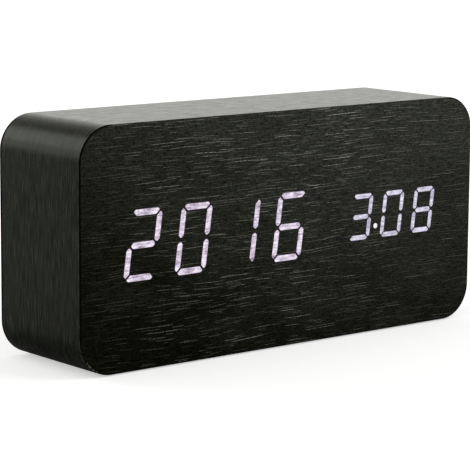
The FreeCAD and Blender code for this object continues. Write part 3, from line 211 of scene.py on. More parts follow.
def wood_film(net, along, across, paleness, strength, tint):
    """Ends the tree in wood film: black ground, pale pores that are partly a painted highlight, and a
    painted shadow line under each.
    """
    pores, painted_shadow_lines = grain(net, along, across)
    flat = net.point(along, across)
    speck = net.noise(flat, (2.6, 0.36, 1), 3.0)
    dust = net.noise(flat, 0.75)
    spotted = net.span(net.total(net.product(speck, 0.55), net.product(dust, 0.45)), 0.37, 0.63)
    ground = net.blend(paleness, net.blend(spotted, *FILM_DARK), net.blend(spotted, *FILM_PALE))
    ground = net.blend(net.product(painted_shadow_lines, 0.75), ground, FILM_PAINTED_SHADOW)
    colour = net.blend(net.product(pores, strength), ground, net.blend(paleness, *FILM_PORE_AND_HIGHLIGHT))
    height = net.total(net.product(pores, 0.6), net.product(speck, 0.4))
    return net.surface(colour, FILM_ROUGHNESS, height, 0.03 * MM, IOR=1.09, Specular_Tint=tint)


# The front's pores, pale partly as a painted highlight, fade to these strengths towards the left edge and
# the lower right
FAINT_LEFT = 0.2
FAINT_RIGHT = 0.42
FADING_RUN = 46 * MM


def film_front():
    """The front's film is paler towards the upper right as painted light, over random tone, and its pores
    are faint at both ends.
    """
    net = Net("wood_film_front")
    x, _, z = net.axes(net.place())[:3]
    cloud = net.noise(net.point(x, z), (26, 12, 1), 3.0)
    # Painted light: the film grows paler towards the right and the top
    painted_light_rightward = net.span(x, case_low.x, 0.1 * case_high.x, -0.55, 0.12)
    painted_light_upward = net.span(z, case_low.z, case_high.z, -0.48, 0.57)
    unevenness = net.total(painted_light_rightward, painted_light_upward, net.span(cloud, 0.3, 0.7, -0.2, 0.2))
    lower_right = net.total(x, net.product(z, -0.35))
    faint = net.math("MINIMUM", net.span(x, case_low.x, 0.55 * case_low.x, FAINT_LEFT, 1.0),
                     net.span(lower_right, 0.0, FADING_RUN, 1.0, FAINT_RIGHT))
    return wood_film(net, x, z, net.span(unevenness, -0.6, 0.8), faint, (0.8, 0.9, 0.45, 1.0))


def film_rear():
    """The rear's film shows another stretch of the same grain."""
    net = Net("wood_film_rear")
    x, _, z = net.axes(net.place())[:3]
    cloud = net.noise(net.point(x, z), (26, 12, 1), 3.0)
    paleness = net.span(cloud, 0.3, 0.7, 0.2, 0.6)
    return wood_film(net, net.total(x, 0.4), z, paleness, 0.7, (0.9, 1.0, 0.6, 1.0))


# Grounds of the sides' film, each from between its streaks to within them, then its patches and lines
WRAP_DARK = ((0.0, 0.0002, 0.0), (0.027, 0.03, 0.0185))
WRAP_COOL = ((0.0, 0.0008, 0.0005), (0.0205, 0.0285, 0.021))
WRAP_WARM = (0.0085, 0.008, 0.0072)
# Pore lines on the sides, partly print and partly painted highlight
WRAP_PORE_AND_HIGHLIGHT = (0.085, 0.092, 0.076)
WRAP_RUBBED = (0.085, 0.088, 0.072)
RUBBED_EDGE = (0.05 * MM, 0.45 * MM)


def film_wrap():
    """The sides' film shows its grain less than the front's, and is paler where its edge is rubbed."""
    net = Net("wood_film_wrap")
    along, across = net.axes(net.node("UVMap", uv_map="grain").outputs[0])[:2]
    flat = net.point(along, across)
    pores = grain(net, along, across)[0]
    lines = net.noise(flat, (7, 0.46, 1), 4.0, 0.6)
    blots = net.noise(flat, (5, 3, 1), 3.0)
    cloud = net.noise(flat, (22, 10, 1))
    streaks = net.span(lines, 0.47, 0.67)
    dark = net.blend(streaks, *WRAP_DARK)
    cool = net.blend(streaks, *WRAP_COOL)
    ground = net.blend(net.span(blots, 0.44, 0.6), dark, cool)
    warm = net.blend(net.span(cloud, 0.48, 0.64, 0.0, 0.4), ground, WRAP_WARM)
    ground = net.blend(net.product(pores, 0.25), warm, WRAP_PORE_AND_HIGHLIGHT)
    scuffs = net.span(net.noise(flat, (3, 0.5, 1)), 0.45, 0.7)
    edge = net.product(net.span(across, *RUBBED_EDGE, 1.0, 0.0), scuffs, 0.55)
    colour = net.blend(edge, ground, WRAP_RUBBED)
    height = net.total(net.product(pores, 0.3), net.product(lines, 0.5), net.product(blots, 0.8))
    roughness = net.span(net.total(lines, blots), 0.7, 1.3, 0.22, 0.32)
    return net.surface(colour, roughness, height, 0.008 * MM, IOR=1.215,
                       Specular_Tint=(0.32, 0.46, 0.1, 1.0))


EDGE_BLACK_AND_PAINTED_SHADE = ((0.0008, 0.0008, 0.0006), (0.0032, 0.0032, 0.0028))
EDGE_RUBBED = (0.075, 0.078, 0.066)


def film_edge_and_painted_shade():
    """The film's edges, black, partly the film's own dark edge and partly painted shade, and rubbed pale
    at the front's lower left corner.
    """
    net = Net("film_edge_black")
    place = net.place()
    mottle = net.noise(place, 0.8, 3.0)
    x, y, z = net.axes(place)[:3]
    corner = net.product(net.span(x, case_low.x + 4 * MM, case_low.x + 9 * MM, 1.0, 0.0),
                         net.span(y, case_low.y + MM, case_low.y + 2 * MM, 1.0, 0.0),
                         net.span(z, case_low.z + 5 * MM, case_low.z + 10 * MM, 1.0, 0.0))
    rubbed = net.product(corner, net.span(net.noise(place, 1.1), 0.46, 0.56))
    colour = net.blend(rubbed, net.blend(mottle, *EDGE_BLACK_AND_PAINTED_SHADE), EDGE_RUBBED)
    return net.surface(colour, 0.5, mottle, 0.01 * MM, IOR=1.03)


# Light through the film, brightest and dimmest, and the colour at a stroke's rim
LIT_TINTS = {
    "large": ((1.08, 0.98, 1.12), (0.16, 0.11, 0.2)),
    "small": ((0.88, 0.85, 1.01), (0.21, 0.19, 0.28)),
    "dot": ((1.0, 0.98, 1.0), (0.8, 0.76, 0.88)),
}
LIT_RIM = (0.3, 0.18, 0.36)


def lit_film(family):
    """Film with a lamp behind it: uneven light, dimmed in fine bars by the grain."""
    net = Net("film_lit_" + family)
    bright, dim = LIT_TINTS[family]
    x, _, z = net.axes(net.place())[:3]
    pores = grain(net, x, z)[0]
    flat = net.point(x, z)
    patches = net.span(net.noise(flat, (3.0, 2.6, 1)), 0.36, 0.58)
    bars = net.span(net.noise(flat, (4, 0.5, 1)), 0.38, 0.6)
    speck = net.span(net.noise(flat, 0.7), 0.34, 0.64)
    level = net.total(net.product(patches, 0.34), net.product(bars, 0.38), net.product(speck, 0.28))
    light = net.blend(level, dim, bright)
    light = net.blend(net.product(pores, 0.6), light, dim)
    rim = net.node("Attribute", attribute_name="rim").outputs["Fac"]
    light = net.blend(rim, light, LIT_RIM)
    return net.surface((0.02, 0.02, 0.018, 1.0), FILM_ROUGHNESS, speck, 0.01 * MM, IOR=1.2,
                       Emission_Color=light, Emission_Strength=1.0)


def mottled(name, dark, light, size, roughness, depth, **fixed):
    """A fine mottle in colour, gloss and height. Size and depth are in millimetres."""
    net = Net(name)
    mottle = net.noise(net.place(), size, 4.0, 0.6)
    unevenness = net.noise(net.place(), 9, 3.0)
    colour = net.blend(net.span(mottle, 0.3, 0.7), dark, light)
    gloss = net.span(net.total(mottle, unevenness), 0.7, 1.3, *roughness)
    return net.surface(colour, gloss, mottle, depth * MM, **fixed)


def moulded_black():
    """Black housing plastic with the fine pebbled finish of a spark-eroded mould."""
    net = Net("plastic_black_moulded")
    place = net.place()
    pebbles = net.node("TexVoronoi", {"Vector": place, "Scale": 1 / (0.55 * MM)}).outputs["Distance"]
    haze = net.noise(place, 6, 3.0)
    fine = net.noise(place, 0.25)
    colour = net.blend(net.span(haze, 0.3, 0.7), (0.0095, 0.0095, 0.01), (0.019, 0.019, 0.0195))
    gloss = net.span(net.total(fine, haze), 0.7, 1.3, 0.42, 0.58)
    return net.surface(colour, gloss, net.total(pebbles, net.product(fine, 0.5)), 0.05 * MM, IOR=1.45)


def fibre_board(name="fibre_board_brown", stain=0.0):
    """Pressed wood fibres: short pale and dark flecks on brown, under more or less black stain."""
    net = Net(name)
    place = net.place()
    lying = net.noise(place, (1.6, 0.3, 0.3), 3.0)
    standing = net.noise(place, (0.3, 0.35, 1.4), 3.0)
    flecks = net.math("MAXIMUM", lying, standing)
    dust = net.noise(place, 9, 3.0)
    brown = net.blend(net.span(flecks, 0.45, 0.75), (0.15, 0.09, 0.048), (0.4, 0.27, 0.15))
    dusted = net.blend(net.span(dust, 0.35, 0.7, 0.0, 0.4), brown, (0.27, 0.18, 0.1))
    colour = net.blend(net.span(dust, 0.3, 0.7, stain, 0.94 * stain), dusted, (0.008, 0.007, 0.006))
    return net.surface(colour, net.span(flecks, 0.4, 0.8, 0.72, 0.9), flecks, 0.06 * MM, IOR=1.4)


def circuit_board():
    """Green solder mask over copper tracks, with tinned dots where the tracks change side."""
    net = Net("board_green")
    place = net.place()
    x, _, z = net.axes(place)[:3]
    cell = 1.6 * MM
    grid = net.point(net.product(x, 1 / cell), net.product(z, 1 / cell))
    walls = {"Vector": grid, "Scale": 1.0, "Randomness": 0.75}
    edge = net.node("TexVoronoi", walls, distance="CHEBYCHEV", voronoi_dimensions="2D")
    ring = net.math("ABSOLUTE", net.total(edge.outputs["Distance"], -0.42))
    tracks = net.span(ring, 0.07, 0.1, 1.0, 0.0)
    dots = net.span(edge.outputs["Distance"], 0.09, 0.12, 1.0, 0.0)
    haze = net.noise(place, 5, 3.0)
    mask = net.blend(net.span(haze, 0.3, 0.7), (0.006, 0.052, 0.018), (0.01, 0.075, 0.028))
    traced = net.blend(tracks, mask, (0.022, 0.145, 0.05))
    colour = net.blend(dots, traced, (0.52, 0.52, 0.5))
    height = net.total(net.product(tracks, 0.6), dots)
    return net.surface(colour, net.span(haze, 0.3, 0.7, 0.22, 0.36), height, 0.03 * MM, IOR=1.5)


def brushed(name, dark, light, roughness, size=(0.09, 2.4, 0.09)):
    """Metal with a faint haze and fine lines, of a size in millimetres along X, Y and Z."""
    net = Net(name)
    place = net.place()
    lines = net.noise(place, size, 3.0)
    drawn = net.total(lines, net.noise(place, 3, 3.0))
    colour = net.blend(net.span(drawn, 0.7, 1.3), dark, light)
    gloss = net.span(drawn, 0.7, 1.3, *roughness)
    return net.surface(colour, gloss, lines, 0.006 * MM, Metallic=1.0)


def ribbon_grey():
    """Flat cable: a groove between each two wires and one blue edge wire."""
    net = Net("ribbon_grey_ridged")
    place = net.place()
    x = net.axes(place)[0]
    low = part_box("ribbon_cable")[0]
    wires = net.math("ABSOLUTE", net.math("SINE", net.product(x, math.pi / (1.0 * MM))))
    haze = net.noise(place, 2, 3.0)
    grey = net.blend(net.span(wires, 0.0, 0.5), (0.15, 0.15, 0.16), (0.3, 0.31, 0.33))
    unevenness = net.blend(net.span(haze, 0.3, 0.7, 0.0, 0.3), grey, (0.24, 0.25, 0.26))
    edge = net.span(x, low.x + 1.0 * MM, low.x + 1.1 * MM, 1.0, 0.0)
    colour = net.blend(edge, unevenness, (0.05, 0.08, 0.3))
    return net.surface(colour, net.span(haze, 0.3, 0.7, 0.38, 0.5), wires, 0.1 * MM, IOR=1.5)


def cell_sleeve(node, nub_end):
    """An AAA cell: bare steel ends, a dark printed sleeve and a copper band towards the nub."""
    net = Net("cell_sleeve_" + node[-1])
    low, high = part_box(node)
    place = net.place()
    x = net.axes(place)[0]
    from_nub = net.total(high.x, net.product(x, -1.0)) if nub_end > 0 else net.total(x, -low.x)
    length = high.x - low.x
    haze = net.noise(place, (6, 2, 2), 3.0)
    dark = net.blend(net.span(haze, 0.3, 0.7), (0.022, 0.022, 0.026), (0.04, 0.04, 0.046))
    band = net.span(from_nub, 11.6 * MM, 11.7 * MM, 1.0, 0.0)
    printed = net.blend(band, dark, (0.42, 0.17, 0.06))
    steel = net.math("MAXIMUM", net.span(from_nub, 1.5 * MM, 1.6 * MM, 1.0, 0.0),
                     net.span(from_nub, length - 0.5 * MM, length - 0.4 * MM, 0.0, 1.0))
    colour = net.blend(steel, printed, (0.6, 0.6, 0.61))
    return net.surface(colour, net.span(haze, 0.3, 0.7, 0.24, 0.36), haze, 0.01 * MM, Metallic=0.85)


# Slot, name, dark and light colour, size in millimetres, roughness, bump in millimetres, refraction
MOTTLED = (
    ("rubber_pad", "rubber_matt", (0.01, 0.01, 0.01), (0.022, 0.022, 0.021), 0.35,
     (0.75, 0.92), 0.05, 1.4),
    ("diffuser_white", "film_milky", (0.66, 0.66, 0.68), (0.78, 0.78, 0.79), 1.2,
     (0.35, 0.5), 0.01, 1.45),
    ("lamp_white", "lamp_milky", (0.62, 0.56, 0.64), (0.8, 0.74, 0.82), 0.8,
     (0.25, 0.4), 0.01, 1.5),
    ("chip_black", "chip_moulded", (0.008, 0.008, 0.008), (0.02, 0.02, 0.02), 0.3,
     (0.5, 0.68), 0.03, 1.5),
    ("header_plastic", "plastic_natural", (0.58, 0.54, 0.42), (0.72, 0.68, 0.56), 1.5,
     (0.38, 0.52), 0.02, 1.5),
    ("nylon_white", "nylon_waxy", (0.64, 0.64, 0.6), (0.76, 0.76, 0.72), 1.8,
     (0.32, 0.46), 0.02, 1.5),
    ("bead_epoxy", "epoxy_bead", (0.012, 0.01, 0.008), (0.032, 0.026, 0.02), 0.6,
     (0.1, 0.22), 0.01, 1.55),
    ("lead_red", "lead_skin_red", (0.26, 0.008, 0.006), (0.38, 0.016, 0.012), 1.0,
     (0.34, 0.48), 0.02, 1.5),
    ("lead_black", "lead_skin_black", (0.007, 0.007, 0.007), (0.016, 0.016, 0.016), 1.0,
     (0.34, 0.48), 0.02, 1.5),
    ("button_black", "button_satin", (0.008, 0.008, 0.009), (0.018, 0.018, 0.019), 0.3,
     (0.3, 0.42), 0.015, 1.5),
    ("switch_body", "switch_moulded", (0.012, 0.012, 0.012), (0.028, 0.028, 0.028), 0.4,
     (0.5, 0.66), 0.03, 1.5),
    ("plunger_brown", "plunger_moulded", (0.03, 0.016, 0.008), (0.055, 0.032, 0.018), 0.4,
     (0.36, 0.5), 0.02, 1.5),
)


def slot_materials():
    """One material for each slot whose CAD nodes stay in view or inside."""
    return {
        **{slot: mottled(*look, IOR=refraction) for slot, *look, refraction in MOTTLED},
        "fibre_board": fibre_board(),
        "black_steel": mottled("steel_blackened", (0.016, 0.016, 0.018), (0.045, 0.045, 0.048),
                               0.5, (0.3, 0.46), 0.01, Metallic=1.0),
        "black_plastic": moulded_black(),
        "circuit_board": circuit_board(),
        "zinc_steel": brushed("steel_zinc", (0.42, 0.43, 0.45), (0.64, 0.64, 0.62), (0.24, 0.4)),
        "ribbon_grey": ribbon_grey(),
        "pin_brass": brushed("brass_turned", (0.5, 0.31, 0.09), (0.72, 0.5, 0.2), (0.18, 0.32),
                             size=(1.8, 0.072, 1.8)),
        "can_metal": brushed("aluminium_can", (0.5, 0.5, 0.52), (0.68, 0.68, 0.69), (0.24, 0.38)),
    }


def dress_nodes(by_slot, film):
    """Gives each carried-over CAD node the material of its slot."""
    for part in frame["record"]["subparts"]:
        node = part["node"]
        made = by_slot.get(part["material_slot"], film)
        if node.startswith("aaa_cell"):
            made = cell_sleeve(node, 1 if node[-1] in "12" else -1)
        if node == "rear_panel":
            made = fibre_board("fibre_board_stained", 0.97)
        for holder in bpy.data.objects[node].material_slots:
            holder.material = made


# Mesh helpers

def in_scene(name, data):
    """A new object of some data, linked to the scene."""
    item = bpy.data.objects.new(name, data)
    bpy.context.scene.collection.objects.link(item)
    return item


def apply(piece, modifier):
    bpy.context.view_layer.objects.active = piece
    bpy.ops.object.modifier_apply(modifier=modifier.name)


def add_piece(name, build, materials, body, replaced=(), finished=True):
    """Makes an object of what was built, lets it ride on a body and stand for CAD nodes."""
    mesh = bpy.data.meshes.new(name)
    mesh.from_pydata(build.vertices, [], build.faces)
    for material in materials:
        mesh.materials.append(material)
    mesh.polygons.foreach_set("material_index", build.face_materials)
    mesh.polygons.foreach_set("use_smooth", build.smooth)
    if any(build.uv):
        layer = mesh.uv_layers.new(name="grain")
        for polygon in mesh.polygons:
            for corner, place in zip(polygon.loop_indices, build.uv[polygon.index]):
                layer.data[corner].uv = place
    mesh.update()
    piece = in_scene(name, mesh)
    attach(piece, body)
    if replaced:
        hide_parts(*replaced)
    if finished:
        weigh_normals(piece)
    return piece


SHARP_ANGLE = math.radians(35)


def weigh_normals(piece):
    """Keeps flat faces flat in the shading where they meet a rounding, and corners crisp."""
    piece.data.set_sharp_from_angle(angle=SHARP_ANGLE)
    modifier = piece.modifiers.new("normals", "WEIGHTED_NORMAL")
    modifier.keep_sharp = True
    modifier.weight = 100
    apply(piece, modifier)


class Build:
    """Collects the vertices and faces of one piece."""

    def __init__(self):
        self.vertices = []
        self.faces = []
        self.face_materials = []
        self.smooth = []
        self.uv = []

    def ring(self, points):
        """Adds vertices and returns their numbers."""
        first = len(self.vertices)
        self.vertices += [tuple(p) for p in points]
        return list(range(first, first + len(points)))

    def face(self, corners, material=0, smooth=False, uv=None):
        self.faces.append(tuple(corners))
        self.face_materials.append(material)
        self.smooth.append(smooth)
        self.uv.append(uv)

    def band(self, one, other, material=0, smooth=True):
        """Faces between two closed rings of as many points."""
        for i in range(len(one)):
            k = (i + 1) % len(one)
            self.face((one[i], one[k], other[k], other[i]), material, smooth)

    def sheet(self, rings, material=0, flip=False):
        """A flat face with holes: the first ring is its outline, in the XZ plane."""
        outlines = [[Vector((x, z, 0)) for x, _, z in (self.vertices[i] for i in ring)] for ring in rings]
        order = [i for ring in rings for i in ring]
        for triangle in tessellate_polygon(outlines):
            a, b, c = (Vector(self.vertices[order[k]]) for k in triangle)
            backwards = (b - a).cross(c - a).y > 0
            corners = [order[k] for k in triangle]
            if backwards != flip:
                corners.reverse()
            self.face(corners, material)


def rounded_box(low_x, low_z, high_x, high_z, radius, steps):
    """Corners of a rectangle with round corners, anticlockwise seen from the front."""
    points = []
    middles = ((high_x - radius, low_z + radius, 270), (high_x - radius, high_z - radius, 0),
               (low_x + radius, high_z - radius, 90), (low_x + radius, low_z + radius, 180))
    for x, z, start in middles:
        for i in range(steps + 1):
            angle = math.radians(start + 90 * i / steps)
            points.append((x + radius * math.cos(angle), z + radius * math.sin(angle)))
    return points


def inward(low, high, radius, steps=18):
    """The rounded outline of a box in XZ, as a function of how far it is moved inwards."""
    return lambda offset: rounded_box(low.x + offset, low.z + offset, high.x - offset, high.z - offset,
                                      radius - offset, steps)


def four_corners(spread):
    """Four points at two distances from the middle."""
    return [(side * spread[0], end * spread[1]) for side in (-1, 1) for end in (-1, 1)]


def circle(x, z, radius, steps):
    turns = [2 * math.pi * i / steps for i in range(steps)]
    return [(x + radius * math.cos(t), z + radius * math.sin(t)) for t in turns]


def soften(points, length, steps=3):
    """Rounds each corner of an outline, starting a length away from it on both of its sides."""
    points = [Vector(point) for point in points]
    softened = []
    for i, corner in enumerate(points):
        before = points[i - 1] - corner
        after = points[(i + 1) % len(points)] - corner
        back = min(length, 0.4 * before.length, 0.4 * after.length)
        enter = corner + before.normalized() * back
        leave = corner + after.normalized() * back
        for k in range(steps + 1):
            t = k / steps
            spot = enter * (1 - t) ** 2 + corner * 2 * t * (1 - t) + leave * t ** 2
            softened.append((spot.x, spot.y))
    return softened


def inset(points, distance):
    """Moves an anticlockwise outline inwards."""
    points = [Vector(point) for point in points]
    moved = []
    for i, here in enumerate(points):
        before = (here - points[i - 1]).normalized()
        after = (points[(i + 1) % len(points)] - here).normalized()
        left = Vector((-after.y, after.x))
        normal = Vector((-before.y, before.x)) + left
        normal = (normal if normal.length > 1e-9 else left).normalized()
        spot = here + normal * (distance / max(0.5, normal.dot(left)))
        moved.append((spot.x, spot.y))
    return moved


def at_depth(points, y):
    return [(x, y, z) for x, z in points]


# Seven-segment figures, measured in the photo. They differ from the frame's light wells by up to 0.3 mm

SEGMENT_TIP = 0.24 * MM
WINDOW_GAP = 0.2 * MM
FIGURES = {
    "large": dict(digits="2016", width=11.2 * MM, height=20.2 * MM, stroke=1.82 * MM, gap=0.55 * MM,
                  corner=1.7 * MM, pitch=17.93 * MM, rise=0.0, lean=math.tan(math.radians(8.0))),
    "small": dict(digits="308", width=8.55 * MM, height=14.0 * MM, stroke=1.48 * MM, gap=0.34 * MM,
                  corner=1.3 * MM, pitch=12.9 * MM, rise=0.15 * MM, lean=math.tan(math.radians(7.3))),
}
LARGE_FIRST_INSET = 9.55 * MM
SMALL_LAST_INSET = 8.52 * MM
STROKE_SOFTENING = 0.26 * MM
DOT_RADIUS = 0.82 * MM
DOT_DROP = 3.25 * MM
LIT = {"0": "abcdef", "1": "bc", "2": "abged", "3": "abgcd", "6": "afgedc", "8": "abcdefg"}


def seven_segments(size):
    """Outlines of the seven strokes of one upright figure about its centre, by letter."""
    wide = size["width"] / 2
    high = size["height"] / 2
    stroke = size["stroke"]
    corner = size["corner"]
    mitre = size["gap"] / math.sqrt(2)
    along = (corner - mitre) / 2

    def flip(points, across, over):
        return [(across * x, over * z) for x, z in points]
    crown = [
        (-wide + corner, high), (wide - corner, high),
        (wide - mitre - along, high - along),
        (wide - mitre - stroke, high - stroke),
        (-wide + mitre + stroke, high - stroke),
        (-wide + mitre + along, high - along),
    ]
    shoulder = mitre + stroke / 2
    upright = [
        (-wide, high - corner),
        (-wide + along, high - mitre - along),
        (-wide + stroke, high - mitre - stroke),
        (-wide + stroke, shoulder),
        (-wide + stroke / 2 + SEGMENT_TIP, mitre + SEGMENT_TIP),
        (-wide + stroke / 2 - SEGMENT_TIP, mitre + SEGMENT_TIP),
        (-wide, shoulder),
    ]
    end = wide - stroke / 2 - mitre
    half_bar = [
        (-end + SEGMENT_TIP, SEGMENT_TIP), (-end + stroke / 2, stroke / 2),
        (end - stroke / 2, stroke / 2), (end - SEGMENT_TIP, SEGMENT_TIP),
    ]
    bar = half_bar + flip(half_bar[::-1], 1, -1)
    return {
        "a": crown, "d": flip(crown, 1, -1), "g": bar,
        "f": upright, "b": flip(upright, -1, 1),
        "e": flip(upright, 1, -1), "c": flip(upright, -1, -1),
    }


def anticlockwise(points):
    area = sum(points[i - 1][0] * points[i][1] - points[i][0] * points[i - 1][1]
               for i in range(len(points)))
    return points if area > 0 else points[::-1]


def lit_outlines():
    """Outlines of the lit strokes of each figure, and of the dot, by piece name."""
    display_z = (window_low.z + window_high.z) / 2
    small = FIGURES["small"]
    left = window_low.x - WINDOW_GAP + LARGE_FIRST_INSET
    right = window_high.x + WINDOW_GAP - SMALL_LAST_INSET - 2 * small["pitch"]
    outlines = {}
    for family, start in (("large", left), ("small", right)):
        size = FIGURES[family]
        level = display_z + size["rise"]
        strokes = seven_segments(size)
        for place, digit in enumerate(size["digits"]):
            x = start + place * size["pitch"]
            lit = []
            for letter in LIT[digit]:
                leaning = [(x + a + b * size["lean"], level + b) for a, b in strokes[letter]]
                lit.append(soften(anticlockwise(leaning), STROKE_SOFTENING))
            outlines["lit_figure_%d_%s" % (len(outlines) + 1, family)] = lit
    dot_x = right + small["pitch"] / 2 - DOT_DROP * small["lean"]
    outlines["lit_dot"] = [circle(dot_x, display_z + small["rise"] - DOT_DROP, DOT_RADIUS, 32)]
    return outlines


# Flat sheets of film

FRONT_ROUNDING = 0.25 * MM
REAR_ROUNDING = 0.12 * MM
ROUNDING_STEPS = 5
# How far the rim's black, partly painted shade, reaches onto the face
BLACK_RIM = 0.14 * MM
LONG_EDGE = 100 * MM


def rounded_rim(rounding, face, outward=1):
    """Distances inwards and levels of a rounded edge, to where it meets the face."""
    angles = [math.pi / 2 * i / ROUNDING_STEPS for i in range(1, ROUNDING_STEPS + 1)]
    return [(rounding * (1 - math.cos(a)), face - outward * rounding * (1 - math.sin(a))) for a in angles]


def film_sheet(name, faces, outline, openings, wells, rounding, materials, replaced):
    """A sheet with rounded rims. outline and openings give their points at a distance into the film.

    faces are the Y of the bare face and of the glued face, wells are openings with square walls.
    """
    build = Build()
    face, glued = faces
    outward = 1 if face > glued else -1

    def ring(points, y):
        return build.ring(at_depth(points[::-1] if outward > 0 else points, y))
    profile = [(0.0, glued), (0.0, face - outward * rounding), *rounded_rim(rounding, face, outward),
               (rounding + BLACK_RIM, face)]
    rims = [ring(outline(offset), y) for offset, y in profile]
    for one, other in zip(rims, rims[1:]):
        build.band(one, other, 1)
    # The long straight edges show the film's own colour, and the black of the other rims is partly
    # painted shade
    for number, corners in enumerate(build.faces):
        if math.dist(build.vertices[corners[0]], build.vertices[corners[1]]) > LONG_EDGE:
            build.face_materials[number] = 0
    face_rings = [rims[-1]]
    glued_rings = [rims[0]]
    for opening in openings:
        around = [ring(opening(offset), y) for offset, y in profile[:-1]]
        for one, other in zip(around, around[1:]):
            build.band(other, one, 1)
        face_rings.append(around[-1])
        glued_rings.append(around[0])
    for well in wells:
        ends = [ring(well, y) for y in (face, glued)]
        build.band(ends[0], ends[1], 0, smooth=False)
        face_rings.append(ends[0])
        glued_rings.append(ends[1])
    build.sheet(face_rings, 0, flip=outward > 0)
    build.sheet(glued_rings, 0, flip=outward < 0)
    add_piece(name, build, materials, "case", replaced)


def front_sheet(outlines, film, edge):
    """Unbroken film on the front, its lit strokes cut out for the pieces that shine."""
    strokes = [stroke for group in outlines.values() for stroke in group]
    outline = inward(case_low, case_high, CORNER_RADIUS)
    film_sheet("front_sheet", (case_low.y, case_high.y), outline, [], strokes, FRONT_ROUNDING,
               [film, edge], ["front_veneer"])


PANEL_RADIUS = 5.75 * MM
BUTTONS = ("set_button", "up_button", "down_button")
BUTTON_HOLE = 3.25 * MM
JACK_HOLE = 4.4 * MM
SOUND_HOLE = 1.0 * MM
SOUND_X = 8 * MM
SCREW_HOLE = 2.8 * MM
SCREW_SPREAD = (64.1 * MM, 24.1 * MM)


def middle(node):
    low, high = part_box(node)
    return (low + high) / 2


def rear_sheet(film, edge):
    """Film on the rear panel, with holes for the buttons, the inlet, the microphone and the screws."""
    def hole(x, z, radius):
        return lambda offset: circle(x, z, radius + offset, 40)
    spots = [(middle(button).x, middle(button).z, BUTTON_HOLE) for button in BUTTONS]
    spots.append((middle("dc_socket_pin").x, middle("dc_socket_pin").z, JACK_HOLE))
    spots.append((SOUND_X, middle(BUTTONS[0]).z, SOUND_HOLE))
    panel_z = (panel_low.z + panel_high.z) / 2
    spots += [(x, panel_z + z, SCREW_HOLE) for x, z in four_corners(SCREW_SPREAD)]
    openings = [hole(*spot) for spot in spots]
    outline = inward(panel_low, panel_high, PANEL_RADIUS, 8)
    film_sheet("rear_sheet", (panel_high.y, panel_low.y), outline, openings, [], REAR_ROUNDING,
               [film, edge], ["rear_veneer"])


TURN_STEPS = 48


def turned(build, centre, axis, profile):
    """Turns a profile of radii and levels about a line through centre, along Y or along Z."""
    rings = []
    for radius, level in profile:
        around = circle(*centre, radius, TURN_STEPS if radius else 1)
        spots = [(a, level, b) if axis == "Y" else (a, b, level) for a, b in around]
        rings.append(build.ring(spots))
    for one, other in zip(rings, rings[1:]):
        if len(one) == 1 or len(other) == 1:
            tip, rim = (one[0], other) if len(one) == 1 else (other[0], one)
            for i in range(TURN_STEPS):
                build.face((tip, rim[i], rim[(i + 1) % TURN_STEPS]), 0, True)
        else:
            build.band(one, other)


def arc(middle_radius, middle_level, size, start, end, steps):
    """Points of a profile on an arc, angles in degrees from straight outwards towards higher levels."""
    angles = [math.radians(start + (end - start) * i / steps) for i in range(steps + 1)]
    return [(middle_radius + size * math.cos(t), middle_level + size * math.sin(t)) for t in angles]


def add_shell(name, build, material, body, replaced):
    """A piece of closed shells in one material, with all its faces turned outwards."""
    piece = add_piece(name, build, [material], body, [replaced])
    shell = bmesh.new()
    shell.from_mesh(piece.data)
    bmesh.ops.recalc_face_normals(shell, faces=shell.faces)
    shell.to_mesh(piece.data)
    shell.free()


CAP_RADIUS = 2.8 * MM
CAP_ROUNDING = 0.45 * MM
CAP_FILLET = 0.1 * MM
DISH_RADIUS = 2.0 * MM
DISH_DEPTH = 0.3 * MM
DISH_STEPS = 6
FLANGE_THICKNESS = 1.0 * MM
FLANGE_SOFT = 0.15 * MM


def push_button(node, material):
    """A button cap with a flange behind the panel, a rounded rim and a dished end."""
    low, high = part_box(node)
    flange = (high.x - low.x) / 2
    end = high.y
    step = low.y + FLANGE_THICKNESS
    profile = [(0.0, low.y)]
    profile += arc(flange - FLANGE_SOFT, low.y + FLANGE_SOFT, FLANGE_SOFT, -90, 0, 3)
    profile += arc(flange - FLANGE_SOFT, step - FLANGE_SOFT, FLANGE_SOFT, 0, 90, 3)
    profile += [(CAP_RADIUS + CAP_FILLET, step), (CAP_RADIUS, step + CAP_FILLET)]
    profile += arc(CAP_RADIUS - CAP_ROUNDING, end - CAP_ROUNDING, CAP_ROUNDING, 0, 90, 6)
    for i in range(DISH_STEPS + 1):
        part = 1 - i / DISH_STEPS
        profile.append((DISH_RADIUS * part, end - DISH_DEPTH * (1 - part ** 2)))
    build = Build()
    turned(build, (middle(node).x, middle(node).z), "Y", profile)
    add_shell(node + "_cap", build, material, node, node)


FOOT_RADIUS = 3.5 * MM
FOOT_SPREAD = (60.4 * MM, 13 * MM)
FOOT_SOFT = 0.12 * MM
RING_RADIUS = 0.72 * FOOT_RADIUS
RING_HALF = 0.15 * MM
RING_DEPTH = 0.08 * MM


def feet(material):
    """Four round pads with a softened rim and a shallow ring."""
    low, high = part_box("foot_pads")
    profile = [(0.0, high.z), (FOOT_RADIUS, high.z)]
    profile += arc(FOOT_RADIUS - FOOT_SOFT, low.z + FOOT_SOFT, FOOT_SOFT, 0, -90, 4)
    profile += [(RING_RADIUS + RING_HALF, low.z), (RING_RADIUS, low.z + RING_DEPTH),
                (RING_RADIUS - RING_HALF, low.z), (0.0, low.z)]
    build = Build()
    for place in four_corners(FOOT_SPREAD):
        turned(build, place, "Z", profile)
    add_shell("foot_pads_soft", build, material, "case", "foot_pads")


